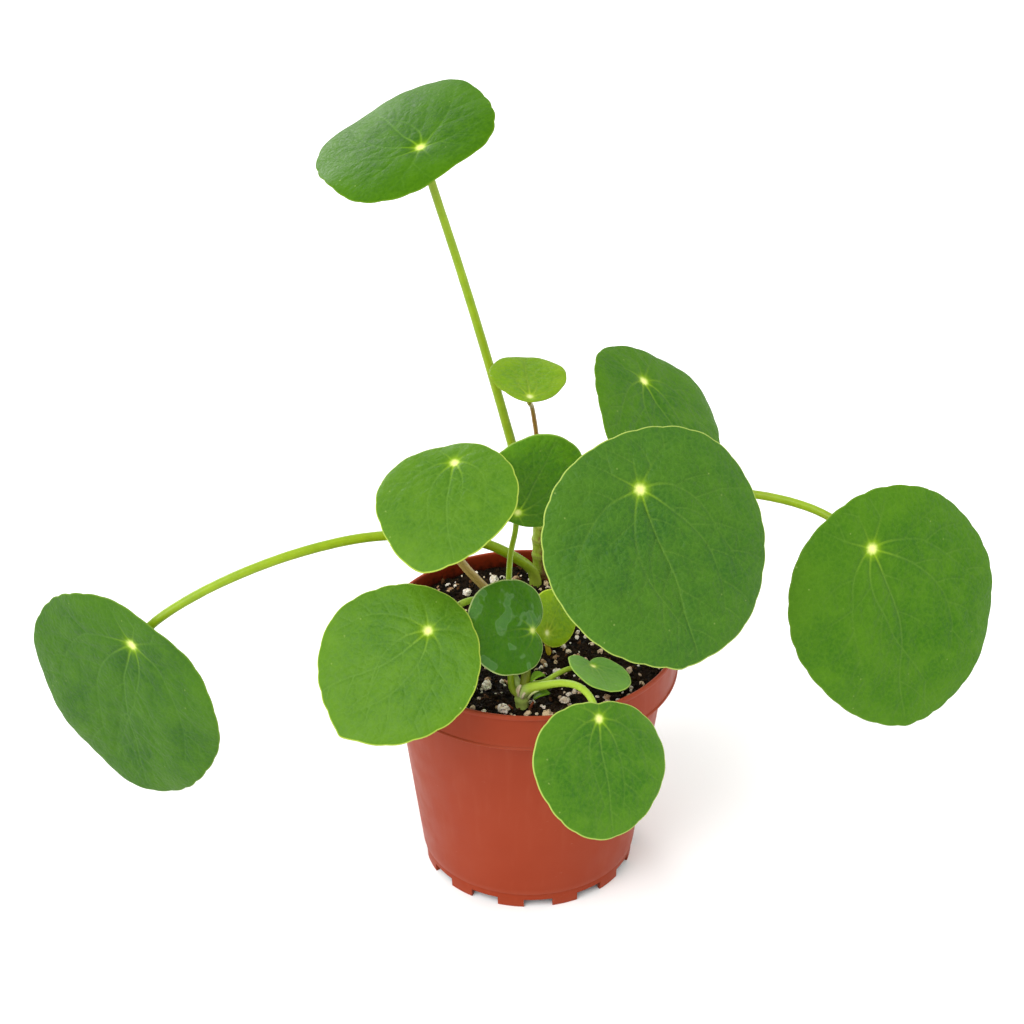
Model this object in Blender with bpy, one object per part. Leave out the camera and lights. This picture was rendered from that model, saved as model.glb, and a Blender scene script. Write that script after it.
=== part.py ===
"""Potted pilea plant: a terracotta-coloured nursery pot, its soil, two stems and round peltate leaves.

The plant is built in metres with +Z up.  The origin is the middle of the pot's underside, on the surface
that the pot stands on.  -Y is the front, where most of the leaves face, and +X is the viewer's right.
"""
import math

import bmesh
import bpy
import numpy as np
from mathutils import Matrix, Vector

MM = 0.001

# Pot, in millimetres
POT_HEIGHT = 93.3
RIM_RADIUS = 52.5
BAND_HEIGHT = 14.0
BODY_TOP_RADIUS = 47.7
BASE_RADIUS = 37.4
WALL = 1.2
FLOOR_TOP = 5.2
FLOOR_UNDERSIDE = 3.8
PAD_RADIUS = 21.0
POT_SEGMENTS = 48
NOTCH_COUNT = 12
NOTCH_WIDTH = 10.2
NOTCH_HEIGHT = 3.4
NOTCH_TURN = 5.0
DRAIN_COUNT = 6
DRAIN_RADIUS = 3.0
DRAIN_CIRCLE = 29.0

# Soil and its clearances, in millimetres
GAP = 0.3
SOIL_TOP = 87.0
SOIL_RADIUS = 50.7
SOIL_SEGMENTS = 40

# Stems, in millimetres: points along each stem and its radius at both ends
MAIN_STEM_PATH = ((4.6, 43.6), (4.4, 43.0, 98.0), (4.2, 42.5, 110.0), (4.0, 42.0, 121.0), (3.8, 41.5, 129.0))
MAIN_STEM_RADII = (3.1, 2.5)
PUP_STEM_PATH = ((-2.6, -36.4), (-2.7, -36.2, 91.0), (-2.6, -36.0, 95.0))
PUP_STEM_RADII = (2.6, 2.0)

# Leaf blades
BLADE_THICKNESS = 0.8

# Each leaf: attachment point in mm, then heading, elevation and roll of the blade in degrees, then
# length in mm, width ratio, offset of the attachment as a share of the length, egg shape,
# droop along and across the blade in 1/m, and the waviness of its outline.
LEAVES = {
    "tall_leaf": ((-36.0, 30.0, 261.5), (-56, 67, -93), 63.5, 0.97, 0.18, 0.03, 6.3, 3.5,
                  (-0.01, 0.01, 0.00, 0.01, -0.04, 0.02)),
    "crown_leaf": ((0.0, 14.0, 178.5), (31, 79, -208), 26.5, 0.97, 0.40, 0.05, 4.6, 3.3,
                   (0.00, 0.00, -0.03, 0.00, 0.01, 0.00)),
    "back_right_leaf": ((40.5, 50.0, 164.5), (64, 54, -31), 57.5, 0.97, 0.23, 0.02, 7.4, 3.0,
                        (0.00, -0.02, -0.02, -0.03, -0.01, 0.03)),
    "big_front_leaf": ((35.5, -30.0, 167.0), (21, 38, 9), 79.5, 0.97, 0.24, -0.01, 3.9, 4.1,
                       (-0.01, 0.00, 0.02, 0.01, -0.01, 0.00)),
    "upright_leaf": ((-4.0, -10.0, 146.5), (9, -3, 152), 36.0, 0.97, 0.36, -0.02, 4.4, 3.8,
                     (0.00, 0.00, 0.02, 0.00, 0.00, 0.00)),
    "mid_left_leaf": ((-25.0, -20.0, 172.0), (-36, 68, 23), 49.0, 0.97, 0.32, -0.03, 5.3, 3.0,
                      (0.01, 0.00, 0.03, 0.00, 0.02, -0.01)),
    "low_left_leaf": ((-33.5, -45.0, 123.0), (-11, 52, -36), 56.0, 0.97, 0.26, -0.02, 4.1, 4.2,
                      (0.00, 0.00, 0.00, 0.01, 0.01, 0.01)),
    "centre_leaf": ((0.5, -30.0, 113.0), (46, 28, -119), 33.5, 0.97, 0.30, -0.01, 4.4, 3.8,
                    (0.00, 0.00, 0.01, 0.00, -0.01, -0.02)),
    "yellow_leaf": ((6.5, -4.0, 94.5), (48, 31, 121), 20.5, 0.97, 0.31, 0.01, 3.9, 4.0,
                    (0.00, 0.00, 0.00, -0.01, 0.00, 0.01)),
    "young_leaf": ((21.0, -26.0, 97.5), (119, 71, -75), 22.5, 0.97, 0.20, 0.02, 3.6, 1.6,
                   (0.00, 0.00, -0.02, -0.07, 0.00, 0.01)),
    "pot_front_leaf": ((22.5, -63.0, 100.5), (33, 36, -16), 47.5, 0.97, 0.33, 0.01, 4.1, 3.9,
                       (-0.05, 0.00, 0.04, 0.00, 0.00, 0.00)),
    "far_left_leaf": ((-136.5, -15.0, 96.5), (-33, -3, -17), 84.0, 0.97, 0.31, -0.03, 1.2, 1.9,
                      (-0.01, 0.00, 0.01, 0.02, 0.00, 0.01)),
    "far_right_leaf": ((117.0, 0.0, 126.0), (25, 28, 17), 83.5, 0.97, 0.27, -0.04, 3.7, 3.7,
                       (-0.01, 0.00, 0.01, -0.01, 0.00, -0.01)),
}

# Each stalk: the piece it grows from, where on it (height in mm and heading in degrees on a stem, or x and y
# in mm on the soil), the points it passes through in mm, and its radius at the root and at the blade.
STALKS = {
    "tall_leaf": ("main", (116.0, -75.0),
                  ((-6.9, 39.5, 148.5), (-16.8, 38.5, 188.3), (-24.4, 36.0, 217.9), (-32.1, 32.5, 246.8)),
                  (1.75, 1.35)),
    "crown_leaf": ("main_top", (), ((3.4, 33.0, 144.2), (2.4, 27.0, 156.0), (0.7, 18.5, 171.5)), (0.85, 0.8)),
    "back_right_leaf": ("main", (120.0, 115.0),
                        ((13.0, 44.5, 123.0), (20.0, 45.0, 127.0), (27.5, 46.2, 133.5), (34.0, 47.8, 142.0),
                         (38.5, 49.0, 152.0)), (1.4, 1.3)),
    "big_front_leaf": ("main", (111.0, 20.0),
                       ((12.0, 30.0, 121.0), (20.5, 12.0, 138.0), (27.5, -10.0, 153.0)), (1.7, 1.5)),
    "upright_leaf": ("pup", (91.5, -90.0),
                     ((-6.4, -35.0, 97.1), (-7.0, -31.0, 109.7), (-7.2, -25.5, 122.1),
                      (-6.5, -14.0, 132.7), (-4.8, -8.0, 139.0)), (1.05, 0.95)),
    "mid_left_leaf": ("soil", (-1.5, 11.0),
                      ((-7.2, 7.6, 96.0), (-16.1, 0.0, 111.5), (-23.0, -6.5, 124.7), (-26.4, -11.5, 135.0),
                       (-26.6, -16.0, 153.0)),
                      (1.55, 1.35)),
    "low_left_leaf": ("pup", (93.6, -150.0),
                      ((-9.5, -27.0, 108.5), (-15.5, -28.5, 123.3), (-22.0, -33.5, 126.3), (-29.2, -39.5, 123.3)),
                      (1.15, 1.1)),
    "centre_leaf": ("pup_top", (), ((-1.6, -32.5, 101.0), (-1.5, -28.5, 108.5)), (1.15, 1.0)),
    "yellow_leaf": ("soil", (6.6, -6.2), ((5.8, -4.2, 91.2),), (0.8, 0.7)),
    "young_leaf": ("pup", (93.6, 125.0), ((4.6, -33.5, 94.3), (10.4, -29.5, 95.6), (16.0, -26.3, 95.4)),
                   (0.95, 0.85)),
    "pot_front_leaf": ("pup", (91.5, 80.0),
                       ((4.2, -38.6, 95.9), (11.0, -43.6, 100.8), (16.2, -49.4, 103.4), (19.4, -54.4, 103.4),
                        (21.1, -58.2, 101.4)), (1.2, 1.0)),
    "far_left_leaf": ("soil", (2.4, 38.4),
                      ((1.2, 37.2, 93.8), (-2.2, 35.2, 98.6), (-13.8, 31.5, 108.1), (-27.8, 26.0, 114.9),
                       (-55.2, 14.0, 122.3), (-82.2, 3.0, 121.7), (-109.1, -6.5, 114.6), (-127.5, -11.5, 104.6)),
                      (1.8, 1.6)),
    "far_right_leaf": ("main", (101.0, 78.0),
                       ((22.0, 39.0, 112.0), (45.0, 35.0, 124.5), (68.0, 28.0, 132.0), (88.0, 18.5, 134.6),
                        (103.0, 9.0, 133.4)), (1.6, 1.45)),
}

# Perlite stones on the soil: x and y in mm, then the radius in mm
STONES = ((-22.0, 30.0, 1.9), (-12.5, 38.0, 2.1), (-28.5, 20.0, 1.6), (-14.5, -28.5, 2.2), (-9.0, -41.5, 2.3),
          (6.0, -43.5, 2.2), (9.5, -19.0, 1.8), (12.0, -34.5, 1.7), (30.0, -22.0, 1.9), (36.0, -8.0, 1.6),
          (26.0, -36.0, 1.7), (-30.0, -6.0, 1.8))


def clear_scene():
    """Remove everything that a new file starts with."""
    for item in list(bpy.data.objects):
        bpy.data.objects.remove(item, do_unlink=True)


def make_material(name, colour, roughness):
    """Return a plain Principled material."""
    material = bpy.data.materials.new(name)
    material.use_nodes = True
    shader = material.node_tree.nodes["Principled BSDF"]
    shader.inputs["Base Color"].default_value = (*colour, 1.0)
    shader.inputs["Roughness"].default_value = roughness
    return material


def add_object(name, data, material):
    """Link a mesh or a curve as a named object with its material."""
    data.materials.append(material)
    item = bpy.data.objects.new(name, data)
    bpy.context.scene.collection.objects.link(item)
    return item


def mesh_from(name, bm):
    """Turn a bmesh into a mesh with its faces pointing out."""
    bmesh.ops.recalc_face_normals(bm, faces=bm.faces)
    mesh = bpy.data.meshes.new(name)
    bm.to_mesh(mesh)
    bm.free()
    return mesh


def turned(name, profile, segments):
    """Turn a profile of (radius, height) points in mm, whose ends lie on the axis, about Z."""
    bm = bmesh.new()
    verts = [bm.verts.new((r * MM, 0.0, z * MM)) for r, z in profile]
    edges = [bm.edges.new(pair) for pair in zip(verts[:-1], verts[1:])]
    bmesh.ops.spin(bm, geom=verts + edges, cent=(0, 0, 0), axis=(0, 0, 1), angle=math.tau, steps=segments,
                   use_merge=True, use_duplicate=False)
    bmesh.ops.remove_doubles(bm, verts=bm.verts, dist=1e-6)
    return mesh_from(name, bm)


def cut(target, mesh):
    """Take a cutter's volume out of an object."""
    cutter = bpy.data.objects.new(mesh.name, mesh)
    bpy.context.scene.collection.objects.link(cutter)
    cutter.hide_render = True
    cutter.display_type = "WIRE"
    boolean = target.modifiers.new(mesh.name, "BOOLEAN")
    boolean.operation = "DIFFERENCE"
    boolean.solver = "EXACT"
    boolean.object = cutter


def notch_cutters():
    """Boxes around the foot of the pot, one for each notch."""
    bm = bmesh.new()
    for index in range(NOTCH_COUNT):
        turn = math.radians(-90.0 + NOTCH_TURN + index * 360.0 / NOTCH_COUNT)
        place = (Matrix.Rotation(turn, 4, "Z") @ Matrix.Translation((BASE_RADIUS * MM, 0, 0))
                 @ Matrix.Diagonal((7.0 * MM, NOTCH_WIDTH * MM, 2.0 * NOTCH_HEIGHT * MM, 1.0)))
        bmesh.ops.create_cube(bm, size=1.0, matrix=place)
    return mesh_from("foot_notches", bm)


def drain_cutters():
    """Round bars through the raised floor, one for each drainage hole."""
    bm = bmesh.new()
    for index in range(DRAIN_COUNT):
        turn = math.radians(20.0 + index * 360.0 / DRAIN_COUNT)
        spot = (DRAIN_CIRCLE * MM * math.cos(turn), DRAIN_CIRCLE * MM * math.sin(turn), FLOOR_UNDERSIDE * MM)
        bmesh.ops.create_cone(bm, cap_ends=True, segments=12, radius1=DRAIN_RADIUS * MM,
                              radius2=DRAIN_RADIUS * MM, depth=6.0 * MM, matrix=Matrix.Translation(spot))
    return mesh_from("drain_holes", bm)


def make_pot():
    """The pot: tapered body, rim band, raised floor with drainage holes and a notched foot."""
    ledge = POT_HEIGHT - BAND_HEIGHT
    profile = [
        (0.0, 0.0),
        (PAD_RADIUS, 0.0),
        (PAD_RADIUS + 1.0, FLOOR_UNDERSIDE),
        (BASE_RADIUS - 1.9, FLOOR_UNDERSIDE),
        (BASE_RADIUS - 1.7, 0.0),
        (BASE_RADIUS, 0.0),
        (BASE_RADIUS + 0.2, 3.9),
        (BASE_RADIUS + 0.6, 4.3),
        (BODY_TOP_RADIUS, ledge + 0.2),
        (RIM_RADIUS - 0.7, ledge),
        (RIM_RADIUS - 0.3, ledge + 0.6),
        (RIM_RADIUS - 0.5, ledge + 1.8),
        (RIM_RADIUS - 0.3, POT_HEIGHT - 2.0),
        (RIM_RADIUS, POT_HEIGHT - 1.0),
        (RIM_RADIUS - 0.3, POT_HEIGHT),
        (RIM_RADIUS - 1.2, POT_HEIGHT),
        (RIM_RADIUS - 1.5, POT_HEIGHT - 0.4),
        (RIM_RADIUS - 1.6, ledge + 1.6),
        (BODY_TOP_RADIUS - WALL + 0.2, ledge + 1.4),
        (BODY_TOP_RADIUS - WALL, ledge + 0.4),
        (BASE_RADIUS - WALL + 0.7, FLOOR_TOP),
        (PAD_RADIUS - 0.3, FLOOR_TOP),
        (PAD_RADIUS - 1.4, 1.6),
        (0.0, 1.6),
    ]
    material = make_material("terracotta_plastic", (0.48, 0.13, 0.07), 0.45)
    pot = add_object("pot", turned("pot", profile, POT_SEGMENTS), material)
    cut(pot, notch_cutters())
    cut(pot, drain_cutters())


def soil_height(x, y):
    """Height of the soil's surface in mm: gently uneven, higher at the back left and round the stems."""
    radius = math.hypot(x, y)
    swell = 0.9 * math.sin(x / 17.0 + 0.6) * math.cos(y / 14.0 - 0.4) - 0.012 * x
    mound = 1.0 * math.exp(-((x - 2.0) ** 2 + (y - 40.0) ** 2) / 160.0)
    return SOIL_TOP + (swell + mound) * min(1.0, max(0.0, (SOIL_RADIUS - radius) / 5.0) + 0.5)


def make_soil():
    """The soil: one body that fills the pot and has an uneven top."""
    ledge = POT_HEIGHT - BAND_HEIGHT
    top_rings = (SOIL_RADIUS, 45.0, 37.0, 28.0, 19.0, 9.0)
    profile = [
        (0.0, 1.6 + GAP),
        (PAD_RADIUS - 1.8, 1.6 + GAP),
        (PAD_RADIUS - 0.7, FLOOR_TOP + GAP),
        (BASE_RADIUS - WALL + 0.35, FLOOR_TOP + GAP),
        (BODY_TOP_RADIUS - WALL - 0.35, ledge + 0.5),
        (BODY_TOP_RADIUS - WALL - 0.1, ledge + 1.4 + GAP),
        (SOIL_RADIUS - 0.1, ledge + 1.6 + GAP),
    ]
    profile += [(radius, SOIL_TOP) for radius in top_rings] + [(0.0, SOIL_TOP)]
    mesh = turned("potting_soil", profile, SOIL_SEGMENTS)
    for vertex in mesh.vertices:
        if vertex.co.z > (SOIL_TOP - 0.5) * MM:
            vertex.co.z = soil_height(vertex.co.x / MM, vertex.co.y / MM) * MM
    add_object("potting_soil", mesh, make_material("potting_soil", (0.02, 0.014, 0.01), 0.95))


def smooth_path(points, spacing):
    """Points at an even spacing along a smooth curve through the given points, all in mm."""
    knots = np.array(points, dtype=float)
    padded = np.vstack([2 * knots[0] - knots[1], knots, 2 * knots[-1] - knots[-2]])
    dense = []
    for index in range(1, len(padded) - 2):
        a, b, c, d = padded[index - 1:index + 3]
        for t in np.linspace(0.0, 1.0, 24, endpoint=False):
            dense.append(0.5 * (2 * b + (c - a) * t + (2 * a - 5 * b + 4 * c - d) * t ** 2
                                + (3 * b - a - 3 * c + d) * t ** 3))
    dense.append(knots[-1])
    dense = np.array(dense)
    steps = np.concatenate([[0.0], np.cumsum(np.linalg.norm(np.diff(dense, axis=0), axis=1))])
    count = max(3, int(round(steps[-1] / spacing)) + 1)
    even = np.linspace(0.0, steps[-1], count)
    return np.stack([np.interp(even, steps, dense[:, axis]) for axis in range(3)], axis=1)


def make_tube(name, points, radii, material, sides=1):
    """A tapered round tube along points in mm; sides sets how round it is."""
    curve = bpy.data.curves.new(name, "CURVE")
    curve.dimensions = "3D"
    curve.bevel_depth = MM
    curve.bevel_resolution = sides
    curve.use_fill_caps = True
    spline = curve.splines.new("POLY")
    spline.points.add(len(points) - 1)
    for index, point in enumerate(points):
        share = index / (len(points) - 1)
        spline.points[index].co = (*(point * MM), 1.0)
        spline.points[index].radius = radii[0] + (radii[1] - radii[0]) * share
    return add_object(name, curve, material)


def stem_point(path, radii, height):
    """The centre and the radius of a stem at a height in mm."""
    heights = [point[2] for point in path]
    centre = [float(np.interp(height, heights, [point[axis] for point in path])) for axis in range(2)]
    share = (height - heights[0]) / (heights[-1] - heights[0])
    return np.array([*centre, height]), radii[0] + (radii[1] - radii[0]) * share


def grounded(path):
    """A stem's path with its foot seated just above the soil."""
    x, y = path[0]
    return ((x, y, soil_height(x, y) + GAP + 0.15),) + path[1:]


def make_stems():
    """The main stem at the back of the pot and the short stem of the young plant at the front."""
    bark = make_material("stem_bark", (0.2, 0.22, 0.06), 0.6)
    pup = make_material("pup_stem", (0.42, 0.5, 0.18), 0.5)
    make_tube("main_stem", smooth_path(grounded(MAIN_STEM_PATH), 5.0), MAIN_STEM_RADII, bark, 2)
    make_tube("pup_stem", smooth_path(grounded(PUP_STEM_PATH), 2.2), PUP_STEM_RADII, pup, 2)


def blade_frame(angles):
    """The blade's facing direction, its direction from stalk to tip, and its direction across."""
    heading, elevation, roll = (math.radians(value) for value in angles)
    across = Vector((math.cos(heading), math.sin(heading), 0.0))
    facing = Vector((math.sin(heading) * math.cos(elevation), -math.cos(heading) * math.cos(elevation),
                     math.sin(elevation)))
    downhill = facing.cross(across)
    if downhill.z > 0.0:
        downhill.negate()
    tip = downhill * math.cos(roll) + across * math.sin(roll)
    return facing, tip, facing.cross(tip)


def blade_point(leaf, share, angle):
    """A point of the blade's upper face in mm, at a share of the radius and an angle from the tip."""
    attachment, angles, length, width, offset, egg, along, across, wave = leaf
    facing, tip, side = blade_frame(angles)
    ripple = 1.0
    for order in range(3):
        ripple += wave[2 * order] * math.cos((order + 2) * angle)
        ripple += wave[2 * order + 1] * math.sin((order + 2) * angle)
    u = offset * length + share * ripple * length / 2.0 * math.cos(angle)
    v = share * ripple * length * width / 2.0 * math.sin(angle) * (1.0 + egg * math.cos(angle))
    sink = (along * u * u + across * v * v) / 2000.0
    return Vector(attachment) + tip * u + side * v - facing * sink


def make_blade(name, leaf, material):
    """One round blade: rings of faces out from its middle, thickened away from its upper face."""
    length = leaf[2]
    segments = 28 if length > 55.0 else 22 if length > 30.0 else 16
    rings = 4 if length > 55.0 else 3 if length > 30.0 else 2
    bm = bmesh.new()
    middle = bm.verts.new(blade_point(leaf, 0.0, 0.0) * MM)
    previous = None
    for ring in range(1, rings + 1):
        loop = []
        for index in range(segments):
            angle = math.tau * index / segments
            loop.append(bm.verts.new(blade_point(leaf, ring / rings, angle) * MM))
        for index in range(segments):
            after = (index + 1) % segments
            if previous is None:
                bm.faces.new((middle, loop[index], loop[after]))
            else:
                bm.faces.new((previous[index], loop[index], loop[after], previous[after]))
        previous = loop
    facing = blade_frame(leaf[1])[0]
    bm.normal_update()
    if sum((face.normal.dot(facing) for face in bm.faces)) < 0.0:
        bmesh.ops.reverse_faces(bm, faces=bm.faces)
    mesh = bpy.data.meshes.new(name)
    bm.to_mesh(mesh)
    bm.free()
    blade = add_object(name, mesh, material)
    solid = blade.modifiers.new("thickness", "SOLIDIFY")
    solid.thickness = BLADE_THICKNESS * MM
    solid.offset = -1.0
    solid.use_even_offset = False
    return blade


def stalk_root(kind, where, radius, lean):
    """The direction that a stalk leaves in and its first two points in mm, just clear of what it grows from.

    The lean is the sine of the angle between that direction and the stalk's own first stretch.
    """
    clear = GAP + 0.05 + radius * lean
    up = np.array([0.0, 0.0, 1.0])
    if kind == "soil":
        x, y = where
        foot = np.array([x, y, soil_height(x, y) + 0.1 + clear])
        return up, [foot, foot + up * 2.0]
    on_main = kind.startswith("main")
    path = grounded(MAIN_STEM_PATH if on_main else PUP_STEM_PATH)
    radii = MAIN_STEM_RADII if on_main else PUP_STEM_RADII
    if kind.endswith("top"):
        top = np.array(path[-1]) + up * clear
        return up, [top, top + up * 2.0]
    height, heading = where
    centre, stem_radius = stem_point(path, radii, height)
    out = np.array([math.sin(math.radians(heading)), -math.cos(math.radians(heading)), 0.0])
    first = centre + out * (stem_radius + clear)
    return out, [first, first + out * 1.2 * radius + up * 0.5]


def make_stalk(name, leaf, stalk, material):
    """One leaf stalk: from its root, through its points, to just under the blade's attachment."""
    kind, where, through, radii = stalk
    facing = np.array(blade_frame(leaf[1])[0])
    attachment = np.array(leaf[0])
    root_lean = 0.5
    end_lean = 0.5
    for _ in range(4):
        out, root = stalk_root(kind, where, radii[0], root_lean)
        end = attachment - facing * (BLADE_THICKNESS + GAP + 0.15 + radii[1] * end_lean)
        spacing = 4.5 if radii[0] > 1.3 else 3.2
        points = smooth_path(root + [np.array(point) for point in through] + [end], spacing)
        leaving = (points[1] - points[0]) / np.linalg.norm(points[1] - points[0])
        arriving = (points[-1] - points[-2]) / np.linalg.norm(points[-1] - points[-2])
        root_lean = math.sqrt(max(0.0, 1.0 - float(leaving @ out) ** 2))
        end_lean = math.sqrt(max(0.0, 1.0 - float(arriving @ facing) ** 2))
    return make_tube(name, points, radii, material, 1)


def make_leaves():
    """Every leaf: a blade and its stalk."""
    green = make_material("leaf_green", (0.07, 0.2, 0.03), 0.4)
    lime = make_material("leaf_yellow_green", (0.25, 0.36, 0.02), 0.4)
    stalk_green = make_material("stalk_green", (0.3, 0.42, 0.06), 0.4)
    tan = make_material("stalk_tan", (0.4, 0.27, 0.1), 0.5)
    for name, leaf in LEAVES.items():
        make_blade(name + "_blade", leaf, lime if name in ("yellow_leaf", "crown_leaf") else green)
        make_stalk(name + "_stalk", leaf, STALKS[name], tan if name == "mid_left_leaf" else stalk_green)


def make_lump(name, centre, size, tilt, material, roughness, seed, detail=1):
    """A rounded lump such as a bud or a stone; roughness is the share by which its surface varies."""
    bm = bmesh.new()
    bmesh.ops.create_icosphere(bm, subdivisions=detail, radius=1.0)
    chance = np.random.default_rng(seed)
    spin = Matrix.Rotation(math.radians(tilt), 3, "Y") @ Matrix.Rotation(seed * 1.3, 3, "Z")
    for vertex in bm.verts:
        shape = vertex.co * (1.0 - roughness * float(chance.random()))
        vertex.co = (Vector(centre) + spin @ Vector([shape[axis] * size[axis] for axis in range(3)])) * MM
    return add_object(name, mesh_from(name, bm), material)


def make_small_growth():
    """The buds by the two stems and the small low leaf beside the young plant."""
    bud = make_material("bud_green", (0.1, 0.26, 0.04), 0.45)
    make_lump("stem_foot_bud", (9.4, 37.6, soil_height(9.4, 37.6) + 1.9), (1.2, 1.2, 1.5), 8, bud, 0.05, 3)
    make_lump("pup_bud", (1.5, -31.0, soil_height(1.5, -31.0) + 3.0), (1.1, 0.8, 2.6), 15, bud, 0.05, 5)
    make_lump("low_leaflet", (4.6, -35.0, soil_height(4.6, -35.0) + 1.1), (2.7, 1.5, 0.6), -20, bud, 0.05, 6)


def make_stones():
    """The larger perlite stones that lie on the soil."""
    perlite = make_material("perlite", (0.72, 0.68, 0.6), 0.9)
    for index, (x, y, radius) in enumerate(STONES):
        lowest = radius * 0.8 + GAP - 0.1
        size = (radius * 1.15, radius * 0.95, radius * 0.8)
        make_lump("perlite_stone_%02d" % (index + 1), (x, y, soil_height(x, y) + lowest), size, 0.0, perlite,
                  0.22, 20 + index, 2)


def main():
    """Build every piece of the potted plant."""
    clear_scene()
    make_pot()
    make_soil()
    make_stems()
    make_leaves()
    make_small_growth()
    make_stones()


main()
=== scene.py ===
import logging
import math
from dataclasses import dataclass, field
from enum import Enum
from typing import Any

import bmesh
import bpy
import numpy as np
from mathutils import Matrix, Vector, kdtree, noise


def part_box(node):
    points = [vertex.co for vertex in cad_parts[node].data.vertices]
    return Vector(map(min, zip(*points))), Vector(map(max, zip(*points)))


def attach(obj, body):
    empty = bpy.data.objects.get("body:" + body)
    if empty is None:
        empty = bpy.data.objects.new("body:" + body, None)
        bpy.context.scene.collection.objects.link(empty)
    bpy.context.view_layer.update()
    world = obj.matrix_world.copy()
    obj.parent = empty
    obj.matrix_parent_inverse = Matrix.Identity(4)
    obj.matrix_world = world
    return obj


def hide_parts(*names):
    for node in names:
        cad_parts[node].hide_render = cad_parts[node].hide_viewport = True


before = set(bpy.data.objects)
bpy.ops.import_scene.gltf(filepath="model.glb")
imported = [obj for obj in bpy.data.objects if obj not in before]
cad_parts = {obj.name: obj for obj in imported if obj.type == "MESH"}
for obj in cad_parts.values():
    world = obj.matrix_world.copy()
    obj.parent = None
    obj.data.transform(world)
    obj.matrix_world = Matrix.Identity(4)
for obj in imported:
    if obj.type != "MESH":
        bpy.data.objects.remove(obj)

LOG = logging.getLogger("potted_pilea")
MM = 0.001
BODY = "root"


# --------------------------------------------------------------------------------------------------------
# Shared helpers
# --------------------------------------------------------------------------------------------------------


def linear(code: str) -> tuple[float, float, float, float]:
    """Turn an sRGB hex colour into linear RGBA.

    Args:
        code: six hex digits with a leading hash.

    Returns:
        The linear colour with an alpha of one.
    """
    levels = [int(code[start:start + 2], 16) / 255.0 for start in (1, 3, 5)]
    return (*(v / 12.92 if v <= 0.04045 else ((v + 0.055) / 1.055) ** 2.4 for v in levels), 1.0)


def put(tree: bpy.types.NodeTree, kind: str, inputs: dict[Any, Any] | None = None, **settings: Any) -> bpy.types.Node:
    """Add one node with its settings and its links.

    Args:
        tree: the node tree that gets the node.
        kind: the node's type name.
        inputs: socket name or index to a value, or to the output socket that feeds it.
        **settings: properties of the node itself.

    Returns:
        The new node.
    """
    node = tree.nodes.new(kind)
    for name, value in settings.items():
        setattr(node, name, value)
    for key, value in (inputs or {}).items():
        if isinstance(value, bpy.types.NodeSocket):
            tree.links.new(value, node.inputs[key])
        else:
            node.inputs[key].default_value = value
    return node


def maths(tree: bpy.types.NodeTree, operation: str, first: Any, second: Any = 0.0) -> bpy.types.NodeSocket:
    """Do one sum on two numbers or sockets and return its socket."""
    return put(tree, "ShaderNodeMath", {0: first, 1: second}, operation=operation).outputs[0]


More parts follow.
